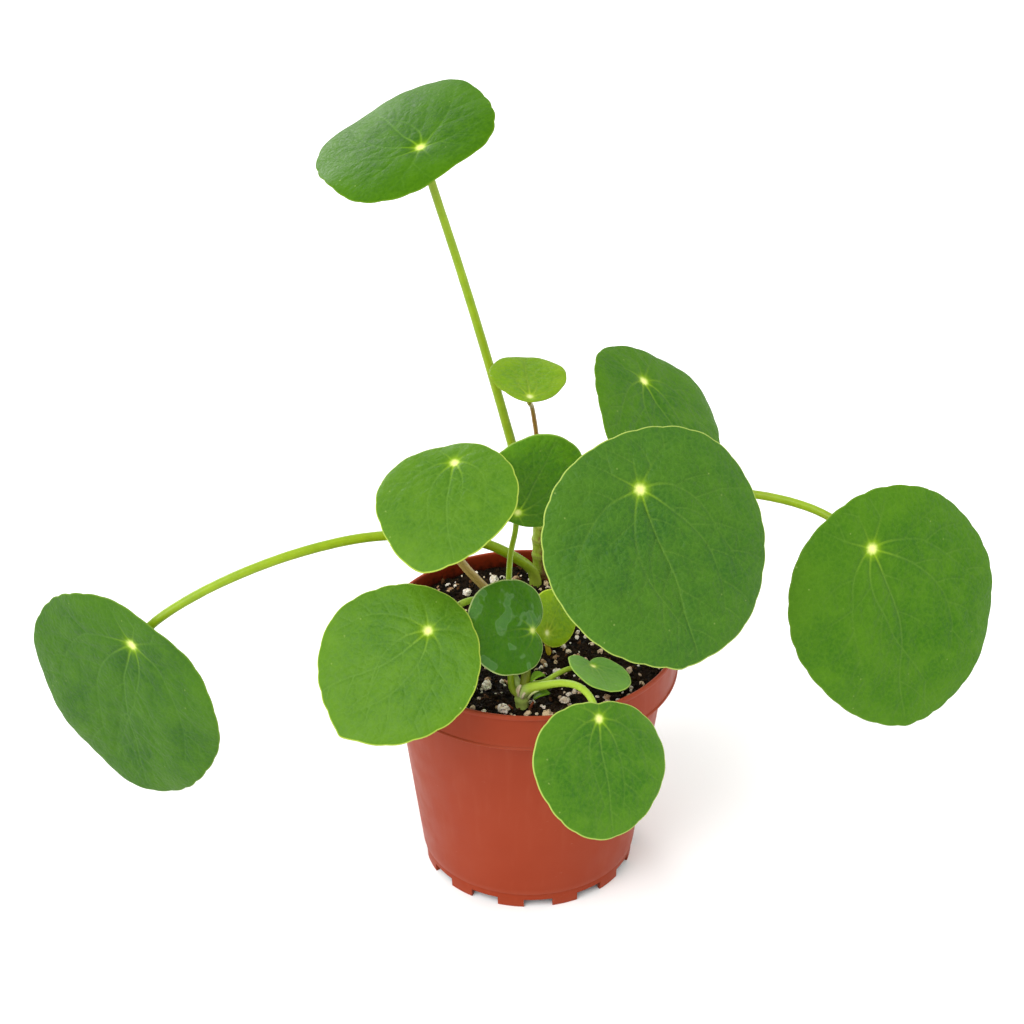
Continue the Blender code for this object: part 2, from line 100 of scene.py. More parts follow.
class Paint:
    """One material in the making: its nodes, its millimetre coordinates and the colour so far."""

    def __init__(self, name: str) -> None:
        """Start a material with one Principled shader and object coordinates in millimetres."""
        self.material = bpy.data.materials.new(name)
        self.material.use_nodes = True
        self.tree = self.material.node_tree
        coordinates = put(self.tree, "ShaderNodeTexCoord").outputs["Object"]
        scaled = put(self.tree, "ShaderNodeVectorMath", {0: coordinates, 3: 1.0 / MM}, operation="SCALE")
        self.place = scaled.outputs[0]
        self.colour: Any = None

    def mixed(self, share: Any, first: Any, second: Any) -> bpy.types.NodeSocket:
        """Blend two colours, each a socket or a hex code."""
        first, second = (linear(item) if isinstance(item, str) else item for item in (first, second))
        return put(self.tree, "ShaderNodeMix", {0: share, 6: first, 7: second}, data_type="RGBA").outputs[2]

    def lay(self, share: Any, over: Any, amount: float = 1.0) -> None:
        """Lay a colour over the colour so far, as strongly as share times amount."""
        self.colour = self.mixed(self.times(share, amount) if amount != 1.0 else share, self.colour, over)

    def times(self, first: Any, second: Any) -> bpy.types.NodeSocket:
        """Multiply two numbers or sockets."""
        return maths(self.tree, "MULTIPLY", first, second)

    def span(self, value: Any, low: float, high: float, to_low: float = 0.0,
             to_high: float = 1.0) -> bpy.types.NodeSocket:
        """Ease a socket from the range low to high into the range to_low to to_high, and clamp it."""
        ends = {"Value": value, "From Min": low, "From Max": high, "To Min": to_low, "To Max": to_high}
        return put(self.tree, "ShaderNodeMapRange", ends, interpolation_type="SMOOTHSTEP").outputs["Result"]

    def grain(self, size_mm: float, detail: float = 3.0, place: Any = None,
              roughness: float = 0.55) -> bpy.types.NodeSocket:
        """Noise whose patches are about size_mm across, on object coordinates unless place says otherwise."""
        ends = {"Vector": self.place if place is None else place, "Scale": 1.0 / size_mm, "Detail": detail,
                "Roughness": roughness}
        return put(self.tree, "ShaderNodeTexNoise", ends).outputs["Fac"]

    def patches(self, size_mm: float, detail: float, low: float, high: float, to_low: float = 0.0,
                to_high: float = 1.0, place: Any = None, roughness: float = 0.55) -> bpy.types.NodeSocket:
        """Patches of noise, eased from to_low below the level low to to_high above the level high."""
        return self.span(self.grain(size_mm, detail, place, roughness), low, high, to_low, to_high)

    def drift(self, size_mm: float, detail: float, amount: float, place: Any = None) -> bpy.types.NodeSocket:
        """Noise about zero that strays by up to half of amount."""
        return self.times(maths(self.tree, "SUBTRACT", self.grain(size_mm, detail, place), 0.5), amount)

    def mapped(self, **settings: Any) -> bpy.types.NodeSocket:
        """Object coordinates turned or stretched."""
        return put(self.tree, "ShaderNodeMapping", {"Vector": self.place, **settings}).outputs[0]

    def attribute(self, name: str, output: str = "Fac") -> bpy.types.NodeSocket:
        """Read one of the piece's own attributes."""
        return put(self.tree, "ShaderNodeAttribute", attribute_name=name).outputs[output]

    def bump(self, height: Any, distance_mm: float, strength: float, below: Any = None) -> bpy.types.NodeSocket:
        """Bump a surface by a height of at most distance_mm, on top of an earlier bump."""
        ends = {"Height": height, "Distance": distance_mm * MM, "Strength": strength}
        if below is not None:
            ends["Normal"] = below
        return put(self.tree, "ShaderNodeBump", ends).outputs["Normal"]

    def finish(self, roughness: Any, specular: float = 0.5, normal: Any = None) -> bpy.types.Material:
        """Feed the shader the colour so far, its roughness, its specular level and its bump."""
        shader = self.tree.nodes["Principled BSDF"]
        shader.inputs["Specular IOR Level"].default_value = specular
        for name, value in (("Base Color", self.colour), ("Roughness", roughness), ("Normal", normal)):
            if isinstance(value, bpy.types.NodeSocket):
                self.tree.links.new(value, shader.inputs[name])
            elif value is not None:
                shader.inputs[name].default_value = value
        return self.material


def link_mesh(name: str, mesh: bpy.types.Mesh, material: bpy.types.Material | None = None) -> bpy.types.Object:
    """Link a mesh as an object at the origin, smooth shaded.

    Args:
        name: the piece's name.
        mesh: its mesh, already in place.
        material: its material, if the mesh has none yet.

    Returns:
        The new object.
    """
    if material is not None:
        mesh.materials.clear()
        mesh.materials.append(material)
    mesh.polygons.foreach_set("use_smooth", np.ones(len(mesh.polygons), dtype=bool))
    piece = bpy.data.objects.new(name, mesh)
    bpy.context.scene.collection.objects.link(piece)
    return piece


def mesh_of(name: str, points: np.ndarray, faces: list | np.ndarray) -> bpy.types.Mesh:
    """Make a mesh from points in millimetres and faces.

    Args:
        name: the mesh's name.
        points: an array of N by 3 points in millimetres.
        faces: the corner indices of each face.

    Returns:
        The mesh, in metres.
    """
    mesh = bpy.data.meshes.new(name)
    faces = faces.tolist() if isinstance(faces, np.ndarray) else faces
    mesh.from_pydata((points * MM).tolist(), [], faces)
    mesh.update()
    return mesh


def mesh_from(shell: bmesh.types.BMesh, name: str) -> bpy.types.Mesh:
    """Turn a bmesh into a plain mesh of that name, and free it."""
    mesh = bpy.data.meshes.new(name)
    shell.to_mesh(mesh)
    shell.free()
    return mesh


def turn_outwards(mesh: bpy.types.Mesh) -> None:
    """Point every face of a closed mesh outwards."""
    shell = bmesh.new()
    shell.from_mesh(mesh)
    bmesh.ops.recalc_face_normals(shell, faces=shell.faces)
    shell.to_mesh(mesh)
    shell.free()


def store(mesh: bpy.types.Mesh, name: str, values: Any) -> None:
    """Store one number per point of a mesh."""
    mesh.attributes.new(name, "FLOAT", "POINT").data.foreach_set("value", np.asarray(values, dtype=np.float32))


def evaluated_mesh(piece: bpy.types.Object, name: str) -> bpy.types.Mesh:
    """Bake an object's modifiers into a plain mesh.

    Args:
        piece: the object with live modifiers.
        name: the new mesh's name.

    Returns:
        The plain mesh.
    """
    graph = bpy.context.evaluated_depsgraph_get()
    mesh = bpy.data.meshes.new_from_object(piece.evaluated_get(graph), depsgraph=graph)
    mesh.name = name
    return mesh


def discard(piece: bpy.types.Object) -> None:
    """Remove a helper object from the file."""
    bpy.data.objects.remove(piece, do_unlink=True)


def thickened(mesh: bpy.types.Mesh, thick_mm: float, offset: float = -1.0, rounding: int = 0) -> bpy.types.Mesh:
    """Give a thin sheet a thickness.

    Args:
        mesh: the sheet.
        thick_mm: its thickness in millimetres.
        offset: which side it grows to: -1 inwards, 0 both ways.
        rounding: how many times the result is subdivided to round its edges.

    Returns:
        The closed mesh, under the sheet's name.
    """
    name = mesh.name
    helper = link_mesh(name, mesh)
    solid = helper.modifiers.new("thickness", "SOLIDIFY")
    solid.thickness, solid.offset = thick_mm * MM, offset
    if rounding:
        smooth = helper.modifiers.new("roundness", "SUBSURF")
        smooth.levels = smooth.render_levels = rounding
    finished = evaluated_mesh(helper, name)
    discard(helper)
    return finished


def disc_grid(count: int) -> tuple[np.ndarray, np.ndarray, np.ndarray, np.ndarray]:
    """An even grid of squares bent to a disc.

    Args:
        count: how many points lie along each side of the grid.

    Returns:
        The radius (with a sign) and the angle of each point, the corners of each face, and the outer ring.
    """
    line = np.linspace(-1.0, 1.0, count)
    a, b = np.meshgrid(line, line, indexing="ij")
    wide = np.abs(a) > np.abs(b)
    radius = np.where(wide, a, b)
    safe = np.where(radius == 0.0, 1.0, radius)
    angle = np.where(wide, math.pi / 4.0 * b / safe, math.pi / 2.0 - math.pi / 4.0 * a / safe)
    index = np.arange(count * count).reshape(count, count)
    faces = np.stack([index[:-1, :-1], index[1:, :-1], index[1:, 1:], index[:-1, 1:]], axis=-1).reshape(-1, 4)
    ring = np.concatenate([index[:-1, 0], index[-1, :-1], index[:0:-1, -1], index[0, :0:-1]])
    return radius.ravel(), angle.ravel(), faces, ring


def sheet_faces(rows: int, columns: int, start: int = 0) -> list[list[int]]:
    """The corners of each face of a sheet of rows by columns points, whose first point has the index start."""
    corners = [start + row * columns + column for row in range(rows - 1) for column in range(columns - 1)]
    return [[corner, corner + 1, corner + columns + 1, corner + columns] for corner in corners]


def unit(vectors: np.ndarray) -> np.ndarray:
    """Scale each row to a length of one."""
    return vectors / np.maximum(np.linalg.norm(vectors, axis=-1, keepdims=True), 1e-12)


def hand_over(piece: bpy.types.Object, slot: str, *nodes: str) -> bpy.types.Object:
    """Fix a finished piece to the plant's body, hide the CAD nodes that it stands for, and log its face count.

    Args:
        piece: the finished object.
        slot: the record's material slot; it is not used.
        *nodes: the CAD nodes that it stands for.

    Returns:
        The same object.
    """
    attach(piece, BODY)
    if nodes:
        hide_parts(*nodes)
    LOG.info("%s: %d faces", piece.name, len(piece.data.polygons))
    return piece


def box_mm(node: str) -> tuple[np.ndarray, np.ndarray]:
    """The lowest and highest corners of a CAD node in millimetres."""
    low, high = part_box(node)
    return np.array(low) / MM, np.array(high) / MM


def smooth_path(points: list, spacing: float) -> np.ndarray:
    """Points at an even spacing on a smooth curve.

    Args:
        points: the points that the curve passes through, in millimetres.
        spacing: the distance between the points of the result, in millimetres.

    Returns:
        An array of N by 3 points in millimetres.
    """
    knots = np.array(points, dtype=float)
    padded = np.vstack([2 * knots[0] - knots[1], knots, 2 * knots[-1] - knots[-2]])
    gaps = np.sqrt(np.linalg.norm(np.diff(padded, axis=0), axis=1))
    times = np.concatenate([[0.0], np.cumsum(gaps)])
    dense = []
    for index in range(1, len(padded) - 2):
        a, b, c, d = padded[index - 1:index + 3]
        p, q, r, s = times[index - 1:index + 3]
        for t in np.linspace(q, r, 40, endpoint=False):
            first, middle, last = [(x * (v - t) + y * (t - u)) / (v - u)
                                   for x, y, u, v in ((a, b, p, q), (b, c, q, r), (c, d, r, s))]
            before, after = [(x * (v - t) + y * (t - u)) / (v - u)
                             for x, y, u, v in ((first, middle, p, r), (middle, last, q, s))]
            dense.append((before * (r - t) + after * (t - q)) / (r - q))
    dense = np.array(dense + [knots[-1]])
    steps = np.concatenate([[0.0], np.cumsum(np.linalg.norm(np.diff(dense, axis=0), axis=1))])
    even = np.linspace(0.0, steps[-1], max(4, int(round(steps[-1] / spacing)) + 1))
    return np.stack([np.interp(even, steps, dense[:, axis]) for axis in range(3)], axis=1)


def ease(value: np.ndarray, low: float, high: float) -> np.ndarray:
    """A smooth step from zero at low to one at high."""
    t = np.clip((value - low) / (high - low), 0.0, 1.0)
    return t * t * (3.0 - 2.0 * t)


# --------------------------------------------------------------------------------------------------------
# Geometry Nodes: stalks swept along a path, and grains strewn over the soil
# --------------------------------------------------------------------------------------------------------


class NodeShape:
    """A Geometry Nodes tree with named inputs, and the modifier that runs it once."""

    def __init__(self, name: str, sizes: dict[str, str]) -> None:
        """Start a tree whose inputs are a geometry and the named sizes.

        Args:
            name: the tree's name.
            sizes: input name to socket type.
        """
        self.tree = bpy.data.node_groups.new(name, "GeometryNodeTree")
        self.tree.interface.new_socket("Geometry", in_out="OUTPUT", socket_type="NodeSocketGeometry")
        self.tree.interface.new_socket("Geometry", in_out="INPUT", socket_type="NodeSocketGeometry")
        self.identifiers = {}
        for label, kind in sizes.items():
            socket = self.tree.interface.new_socket(label, in_out="INPUT", socket_type=kind)
            self.identifiers[label] = socket.identifier
        self.inputs = self.tree.nodes.new("NodeGroupInput").outputs
        self.build()

    def build(self) -> None:
        """Add the nodes; each shape has its own."""
        raise NotImplementedError

    def close(self, geometry: bpy.types.NodeSocket) -> None:
        """End the tree in real, smooth and painted geometry."""
        real = put(self.tree, "GeometryNodeRealizeInstances", {"Geometry": geometry})
        smooth = put(self.tree, "GeometryNodeSetShadeSmooth", {"Geometry": real.outputs[0]})
        painted = put(self.tree, "GeometryNodeSetMaterial",
                      {"Geometry": smooth.outputs[0], "Material": self.inputs["Material"]})
        put(self.tree, "NodeGroupOutput", {"Geometry": painted.outputs[0]})

    def run(self, piece: bpy.types.Object, name: str, sizes: dict[str, Any]) -> bpy.types.Object:
        """Run the tree on an object and return the result as a plain object.

        Args:
            piece: the object that the tree starts from; it is discarded.
            name: the name of the result.
            sizes: input name to value.

        Returns:
            The new object, with no modifier.
        """
        modifier = piece.modifiers.new(name, "NODES")
        modifier.node_group = self.tree
        for label, value in sizes.items():
            modifier[self.identifiers[label]] = value
        mesh = evaluated_mesh(piece, name)
        piece.modifiers.remove(modifier)
        discard(piece)
        return link_mesh(name, mesh)


class StalkSweep(NodeShape):
    """Sweeps a round section along a stalk, as thick as the curve's own radius."""

    def __init__(self) -> None:
        """Name the sweep's sizes."""
        super().__init__("stalk_sweep", {"Sides": "NodeSocketInt", "Ring spacing": "NodeSocketFloat",
                                         "Unevenness": "NodeSocketFloat", "Material": "NodeSocketMaterial"})

    def build(self) -> None:
        """Resample the curve, keep how far along each ring is, and sweep the section."""
        tree = self.tree
        rings = put(tree, "GeometryNodeResampleCurve",
                    {"Curve": self.inputs["Geometry"], "Length": self.inputs["Ring spacing"]}, mode="LENGTH")
        along = put(tree, "GeometryNodeSplineParameter")
        marked = put(tree, "GeometryNodeStoreNamedAttribute",
                     {"Geometry": rings.outputs[0], "Name": "along", "Value": along.outputs["Factor"]},
                     data_type="FLOAT", domain="POINT")
        radius = put(tree, "GeometryNodeInputRadius")
        section = put(tree, "GeometryNodeCurvePrimitiveCircle", {"Resolution": self.inputs["Sides"], "Radius": 1.0})
        swept = put(tree, "GeometryNodeCurveToMesh",
                    {"Curve": marked.outputs[0], "Profile Curve": section.outputs[0], "Fill Caps": True})
        if "Scale" in swept.inputs:
            tree.links.new(radius.outputs[0], swept.inputs["Scale"])
        place = put(tree, "GeometryNodeInputPosition")
        lumps = put(tree, "ShaderNodeTexNoise", {"Vector": place.outputs[0], "Scale": 260.0, "Detail": 2.0})
        centred = maths(tree, "SUBTRACT", lumps.outputs["Fac"], 0.5)
        amount = maths(tree, "MULTIPLY", centred, self.inputs["Unevenness"])
        outward = put(tree, "GeometryNodeInputNormal")
        push = put(tree, "ShaderNodeVectorMath", {0: outward.outputs[0], 3: amount}, operation="SCALE")
        pushed = put(tree, "GeometryNodeSetPosition", {"Geometry": swept.outputs[0], "Offset": push.outputs[0]})
        self.close(pushed.outputs[0])


class GrainScatter(NodeShape):
    """Strews small lumps over a surface; every lump gets its own size, turn and shape."""

    def __init__(self) -> None:
        """Name the scatter's sizes."""
        super().__init__("grain_scatter", {
            "Per square metre": "NodeSocketFloat", "Smallest": "NodeSocketFloat", "Largest": "NodeSocketFloat",
            "Slimness": "NodeSocketFloat", "Roughness": "NodeSocketFloat", "Detail": "NodeSocketInt",
            "Seed": "NodeSocketInt", "Material": "NodeSocketMaterial"})

    def build(self) -> None:
        """Distribute points, put a lump on each, turn it real and roughen it."""
        tree = self.tree
        spread = put(tree, "GeometryNodeDistributePointsOnFaces",
                     {"Mesh": self.inputs["Geometry"], "Density": self.inputs["Per square metre"],
                      "Seed": self.inputs["Seed"]}, distribute_method="RANDOM")
        lump = put(tree, "GeometryNodeMeshIcoSphere", {"Radius": 1.0, "Subdivisions": self.inputs["Detail"]})
        turn = put(tree, "FunctionNodeRandomValue",
                   {"Min": (0.0, 0.0, 0.0), "Max": (6.28, 6.28, 6.28), "Seed": self.inputs["Seed"]},
                   data_type="FLOAT_VECTOR")
        size = put(tree, "FunctionNodeRandomValue", data_type="FLOAT")
        for index, socket in ((2, self.inputs["Smallest"]), (3, self.inputs["Largest"])):
            tree.links.new(socket, size.inputs[index])
        tree.links.new(self.inputs["Seed"], size.inputs["Seed"])
        narrow = maths(tree, "MULTIPLY", size.outputs[1], self.inputs["Slimness"])
        scale = put(tree, "ShaderNodeCombineXYZ", {0: size.outputs[1], 1: narrow, 2: narrow})
        placed = put(tree, "GeometryNodeInstanceOnPoints",
                     {"Points": spread.outputs["Points"], "Instance": lump.outputs["Mesh"],
                      "Rotation": turn.outputs[0], "Scale": scale.outputs[0]})
        shade = put(tree, "FunctionNodeRandomValue", {"Seed": self.inputs["Seed"]}, data_type="FLOAT")
        marked = put(tree, "GeometryNodeStoreNamedAttribute",
                     {"Geometry": placed.outputs[0], "Name": "tint", "Value": shade.outputs[1]},
                     data_type="FLOAT", domain="INSTANCE")
        real = put(tree, "GeometryNodeRealizeInstances", {"Geometry": marked.outputs[0]})
        place = put(tree, "GeometryNodeInputPosition")
        lumps = put(tree, "ShaderNodeTexNoise", {"Vector": place.outputs[0], "Scale": 900.0, "Detail": 2.0})
        centred = put(tree, "ShaderNodeVectorMath", {0: lumps.outputs["Color"], 1: (0.5, 0.5, 0.5)},
                      operation="SUBTRACT")
        push = put(tree, "ShaderNodeVectorMath", {0: centred.outputs[0], 3: self.inputs["Roughness"]},
                   operation="SCALE")
        pushed = put(tree, "GeometryNodeSetPosition", {"Geometry": real.outputs[0], "Offset": push.outputs[0]})
        self.close(pushed.outputs[0])


# --------------------------------------------------------------------------------------------------------
# Finishes
# --------------------------------------------------------------------------------------------------------


@dataclass(frozen=True)
class PileaLeafSkin:
    """Smooth fleshy leaf: waxy upper skin over green flesh, paler veins with painted shade beside them, a pale thin
    margin.

    The wax gives broad soft highlights; the flesh shows as fine mottling between the veins.
    """

    name: str
    flesh: str = "#3d690b"
    deep: str = "#2b5b07"
    light: str = "#4b760f"
    vein: str = "#6a9032"
    # darker green for the painted shade along both sides of the veins
    painted_vein_shade: str = "#1f4a0c"
    edge: str = "#a3b653"
    spot: str = "#e4e78e"
    halo: str = "#84a804"
    under: str = "#738e4e"
    under_vein: str = "#b9cd8e"
    pore: str = "#a9b86a"
    roughness: float = 0.48
    wax: float = 0.15
    margin: float = 0.9
    relief: float = 1.0
    # strength of the water marks and of their painted sheen
    marks_and_sheen: float = 0.0

    def build(self) -> bpy.types.Material:
        """Make the leaf's material from its own vein, rim and underside attributes."""
        paint = Paint(self.name)
        flat, share = paint.attribute("blade_plane", "Vector"), paint.attribute("rim")
        veins, below = paint.attribute("vein"), paint.attribute("underside")
        paint.colour = paint.mixed(paint.patches(21.0, 3.0, 0.36, 0.64), self.deep, self.flesh)
        paint.lay(paint.patches(7.0, 4.0, 0.42, 0.72), self.light, 0.5)
        mottle = paint.patches(1.3, 3.0, 0.3, 0.7, place=flat, roughness=0.6)
        paint.lay(mottle, self.light, 0.45)
        paint.lay(paint.span(share, 0.6, 1.0, 0.0, 0.3), self.light)
        cells = put(paint.tree, "ShaderNodeTexVoronoi", {"Vector": flat, "Scale": 1.0 / 2.3, "Randomness": 0.9},
                    feature="DISTANCE_TO_EDGE").outputs["Distance"]
        paint.lay(paint.span(cells, 0.0, 0.1, 1.0, 0.0), self.vein, 0.07)
        # painted shade: darker green laid on both sides of each vein
        paint.lay(paint.attribute("painted_vein_shade"), self.painted_vein_shade, 0.4)
        paint.lay(veins, self.vein, 0.54)
        self.pores(paint, flat, share)
        self.glow(paint, flat, veins)
        paint.lay(paint.span(paint.attribute("margin"), 0.05, 0.42, self.margin, 0.0), self.edge)
        paint.lay(below, paint.mixed(paint.times(veins, 0.5), self.under, self.under_vein))
        rough = paint.span(mottle, 0.0, 1.0, self.roughness - 0.05, self.roughness + 0.09)
        if self.marks_and_sheen > 0.0:
            rough = self.water_marks_and_sheen(paint, flat, below, rough)
        fine = paint.bump(paint.grain(0.55, 2.0, flat), 0.03, 0.8)
        quilt = paint.bump(cells, 0.34 * self.relief, 0.9, fine)
        normal = paint.bump(paint.grain(2.6, 3.0, flat), 0.5 * self.relief, 1.0, quilt)
        return paint.finish(rough, self.wax, normal)

    def pores(self, paint: Paint, flat: Any, share: Any) -> None:
        """Add the sparse pale pores that lie near the margin.

        Args:
            paint: the material in the making.
            flat: the blade's own plane coordinates.
            share: how far from the middle a point lies.
        """
        cells = put(paint.tree, "ShaderNodeTexVoronoi", {"Vector": flat, "Scale": 1.0 / 4.2, "Randomness": 1.0})
        pick = put(paint.tree, "ShaderNodeSeparateColor", {0: cells.outputs["Color"]}).outputs[0]
        dot = paint.times(paint.span(cells.outputs["Distance"], 0.05, 0.1, 1.0, 0.0), paint.span(pick, 0.6, 0.66))
        paint.lay(paint.times(dot, paint.span(share, 0.35, 0.85)), self.pore, 0.24)

    def glow(self, paint: Paint, flat: Any, veins: Any) -> None:
        """Add the pale spot over the stalk, with a soft halo that runs out along the veins.

        Args:
            paint: the material in the making.
            flat: the blade's own plane coordinates.
            veins: how strongly a point lies on a vein.
        """
        distance = paint.attribute("spot")
        reach = maths(paint.tree, "ADD", distance, paint.drift(1.6, 3.0, 1.0, flat))
        reach = maths(paint.tree, "ADD", reach, paint.times(veins, -0.35))
        paint.lay(paint.times(veins, paint.span(distance, 2.0, 11.0, 0.55, 0.0)), self.halo)
        for near, far, most, code in ((0.6, 4.6, 0.45, self.halo), (0.6, 3.0, 0.85, self.halo),
                                      (0.1, 2.3, 1.0, self.spot)):
            paint.lay(paint.span(reach, near, far, most, 0.0), code)

    def water_marks_and_sheen(self, paint: Paint, flat: Any, below: Any, rough: Any) -> bpy.types.NodeSocket:
        """Add dried water marks: islands a little glossier than the wax round them, with pale rims; their soft bluish
        colour is painted sheen.

        Args:
            paint: the material in the making.
            flat: the blade's own plane coordinates.
            below: whether a point lies on the underside.
            rough: the roughness below the marks.

        Returns:
            The roughness with the marks in it.
        """
        islands = paint.grain(8.5, 2.5, flat, 0.5)
        inside = paint.span(islands, 0.54, 0.6)
        outline = maths(paint.tree, "SUBTRACT", paint.span(islands, 0.56, 0.58), paint.span(islands, 0.585, 0.62))
        above = maths(paint.tree, "SUBTRACT", 1.0, below)
        # painted sheen: the soft bluish colour of the islands; the pale rims belong to the marks
        for shape, amount, code in ((inside, 0.3, "#5f8a58"), (outline, 0.1, "#93ad7c")):
            paint.lay(paint.times(paint.times(shape, amount * self.marks_and_sheen), above), code)
        return maths(paint.tree, "SUBTRACT", rough, paint.times(inside, 0.1))


@dataclass(frozen=True)
class StalkSkin:
    """Smooth juicy stalk: bright yellow-green, a little darker at its root, with fine pale specks."""

    name: str
    body: str = "#86a009"
    root: str = "#98aa3c"
    tip: str = "#7a9903"
    shade: str = "#6b8805"
    flush: str = "#7f9114"
    speck: str = "#b9c56a"
    roughness: float = 0.4
    gloss: float = 0.3

    def build(self) -> bpy.types.Material:
        """Make the stalk's material; colour runs from root to blade."""
        paint = Paint(self.name)
        along = paint.attribute("along")
        paint.colour = paint.mixed(paint.span(along, 0.0, 0.12), self.root, self.body)
        paint.lay(paint.span(along, 0.75, 1.0), self.tip)
        paint.lay(paint.patches(6.0, 4.0, 0.35, 0.7), self.shade, 0.45)
        paint.lay(paint.patches(13.0, 2.0, 0.5, 0.75), self.flush, 0.5)
        paint.lay(paint.patches(0.6, 2.0, 0.6, 0.72), self.speck, 0.18)
        return paint.finish(self.roughness, self.gloss, paint.bump(paint.grain(0.8), 0.05, 0.7))


@dataclass(frozen=True)
class WoodyStem:
    """Old stem: green skin turning to brown cork, ringed by the scars of fallen leaves."""

    name: str
    green: str = "#839a22"
    cork: str = "#74492a"
    scar: str = "#5f5220"
    pale: str = "#a2a850"

    def build(self) -> bpy.types.Material:
        """Make the stem's material; it turns brown on its +x side, along a ragged line."""
        paint = Paint(self.name)
        sideways = put(paint.tree, "ShaderNodeSeparateXYZ", {0: paint.place}).outputs[0]
        brown_side = paint.span(maths(paint.tree, "ADD", sideways, paint.drift(4.0, 3.0, 7.0)), 3.2, 5.4)
        paint.colour = paint.mixed(brown_side, self.green, self.cork)
        paint.lay(paint.patches(1.1, 4.0, 0.45, 0.65), self.pale, 0.4)
        paint.lay(paint.attribute("scar"), self.scar, 0.7)
        return paint.finish(0.6, normal=paint.bump(paint.grain(0.9, 4.0), 0.25, 0.8))


@dataclass(frozen=True)
class TerracottaPolypropylene:
    """Moulded polypropylene coloured like terracotta: satin, slightly waxy, with faint flow and handling marks."""

    name: str = "terracotta_polypropylene"
    body: str = "#8b351b"
    shade: str = "#883218"
    wear_and_edge_highlight: str = "#9c4c34"
    scratch: str = "#ad7464"
    # painted shade of the inner wall, which is the same plastic as the outside
    inside: str = "#6a1f0c"
    darker_near_soil: str = "#2a120a"

    def build(self) -> bpy.types.Material:
        """Make the pot's material: flow marks, scuffs, edges lightened by rubbing and painted highlight, painted
        shade on the inner wall, and a darker band on the inner wall towards the soil.
        """
        paint = Paint(self.name)
        height = put(paint.tree, "ShaderNodeSeparateXYZ", {0: paint.place}).outputs[2]
        upright = paint.mapped(Scale=(1.0, 1.0, 0.08))
        hair = paint.mapped(Rotation=(0.4, 0.2, 0.9), Scale=(0.1, 1.0, 1.0))
        inner = paint.attribute("inner")
        paint.colour = paint.mixed(paint.patches(26.0, 3.0, 0.3, 0.7), self.shade, self.body)
        paint.lay(paint.patches(3.2, 3.0, 0.5, 0.8, place=upright), self.wear_and_edge_highlight, 0.16)
        scuff = paint.times(paint.patches(0.7, 2.0, 0.68, 0.76, place=hair), paint.patches(15.0, 2.0, 0.5, 0.65))
        paint.lay(scuff, self.scratch, 0.35)
        # lighter rim, band lip, mould line and base: partly rubbing, partly painted highlight
        paint.lay(paint.attribute("edge"), self.wear_and_edge_highlight, 0.28)
        # painted shade: the inner wall is laid darker for the shade inside the pot
        paint.lay(inner, self.inside, 0.85)
        # the inner wall turns darker still towards the soil line
        low = paint.span(maths(paint.tree, "ADD", height, paint.drift(2.4, 4.0, 9.0)), 86.5, 91.0, 1.0, 0.0)
        paint.lay(paint.times(inner, low), self.darker_near_soil, 0.85)
        rough = maths(paint.tree, "ADD", paint.patches(9.0, 3.0, 0.3, 0.7, 0.36, 0.48), paint.times(scuff, 0.2))
        peel = paint.bump(paint.grain(0.9, 2.0), 0.03, 0.5)
        return paint.finish(rough, 0.1, paint.bump(paint.grain(7.0, 2.0, upright), 0.14, 0.5, peel))


@dataclass(frozen=True)
class DampPeat:
    """Damp peat and bark mix: nearly black, with brown fibres and a few damp glints."""

    name: str
    dark: str = "#0b0805"
    brown: str = "#23170c"
    fibre: str = "#5c4020"
    fibre_share: float = 0.5

    def build(self) -> bpy.types.Material:
        """Make the soil's material."""
        paint = Paint(self.name)
        paint.colour = paint.mixed(paint.patches(3.0, 4.0, 0.4, 0.65), self.dark, self.brown)
        paint.lay(paint.span(paint.attribute("tint"), 0.35, 1.0, 0.0, 0.6), self.brown)
        paint.lay(paint.patches(0.9, 3.0, 0.6, 0.72), self.fibre, self.fibre_share)
        rough = paint.patches(1.3, 2.0, 0.35, 0.6, 0.55, 0.95)
        return paint.finish(rough, 0.08, paint.bump(paint.grain(0.5, 4.0), 0.5, 0.8))


@dataclass(frozen=True)
class ExpandedPerlite:
    """Expanded volcanic glass: chalky white to beige, pitted, stained by the soil in its hollows."""

    name: str
    white: str = "#efe8dc"
    beige: str = "#c9ae8c"
    brown: str = "#946c48"
    stain: str = "#3e2b1a"

    def build(self) -> bpy.types.Material:
        """Make the perlite's material."""
        paint = Paint(self.name)
        tint = paint.attribute("tint")
        paint.colour = paint.mixed(paint.span(tint, 0.4, 0.85), self.white, self.beige)
        paint.lay(paint.span(tint, 0.84, 0.92, 0.0, 0.8), self.brown)
        paint.lay(paint.patches(1.1, 4.0, 0.45, 0.62, 0.0, 0.7), self.beige)
        cells = put(paint.tree, "ShaderNodeTexVoronoi", {"Vector": paint.place, "Scale": 1.0 / 0.8})
        pits = cells.outputs["Distance"]
        hollow = paint.times(paint.span(pits, 0.16, 0.34, 1.0, 0.0), paint.patches(1.9, 1.0, 0.45, 0.6))
        paint.lay(hollow, self.stain, 0.85)
        paint.lay(paint.patches(0.9, 3.0, 0.56, 0.66, 0.0, 0.8), self.stain)
        return paint.finish(0.85, 0.2, paint.bump(pits, 0.3, 0.8))


@dataclass(frozen=True)
class SeamlessPaper:
    """Matt white background paper under soft light."""

    name: str = "background_paper"
    white: str = "#f7f7f7"
    fibre: str = "#f9f9f9"

    def build(self) -> bpy.types.Material:
        """Make the floor's material."""
        paint = Paint(self.name)
        paint.colour = paint.mixed(paint.grain(40.0, 2.0), self.white, self.fibre)
        return paint.finish(0.9, 0.1)


# --------------------------------------------------------------------------------------------------------
# Leaves
# --------------------------------------------------------------------------------------------------------


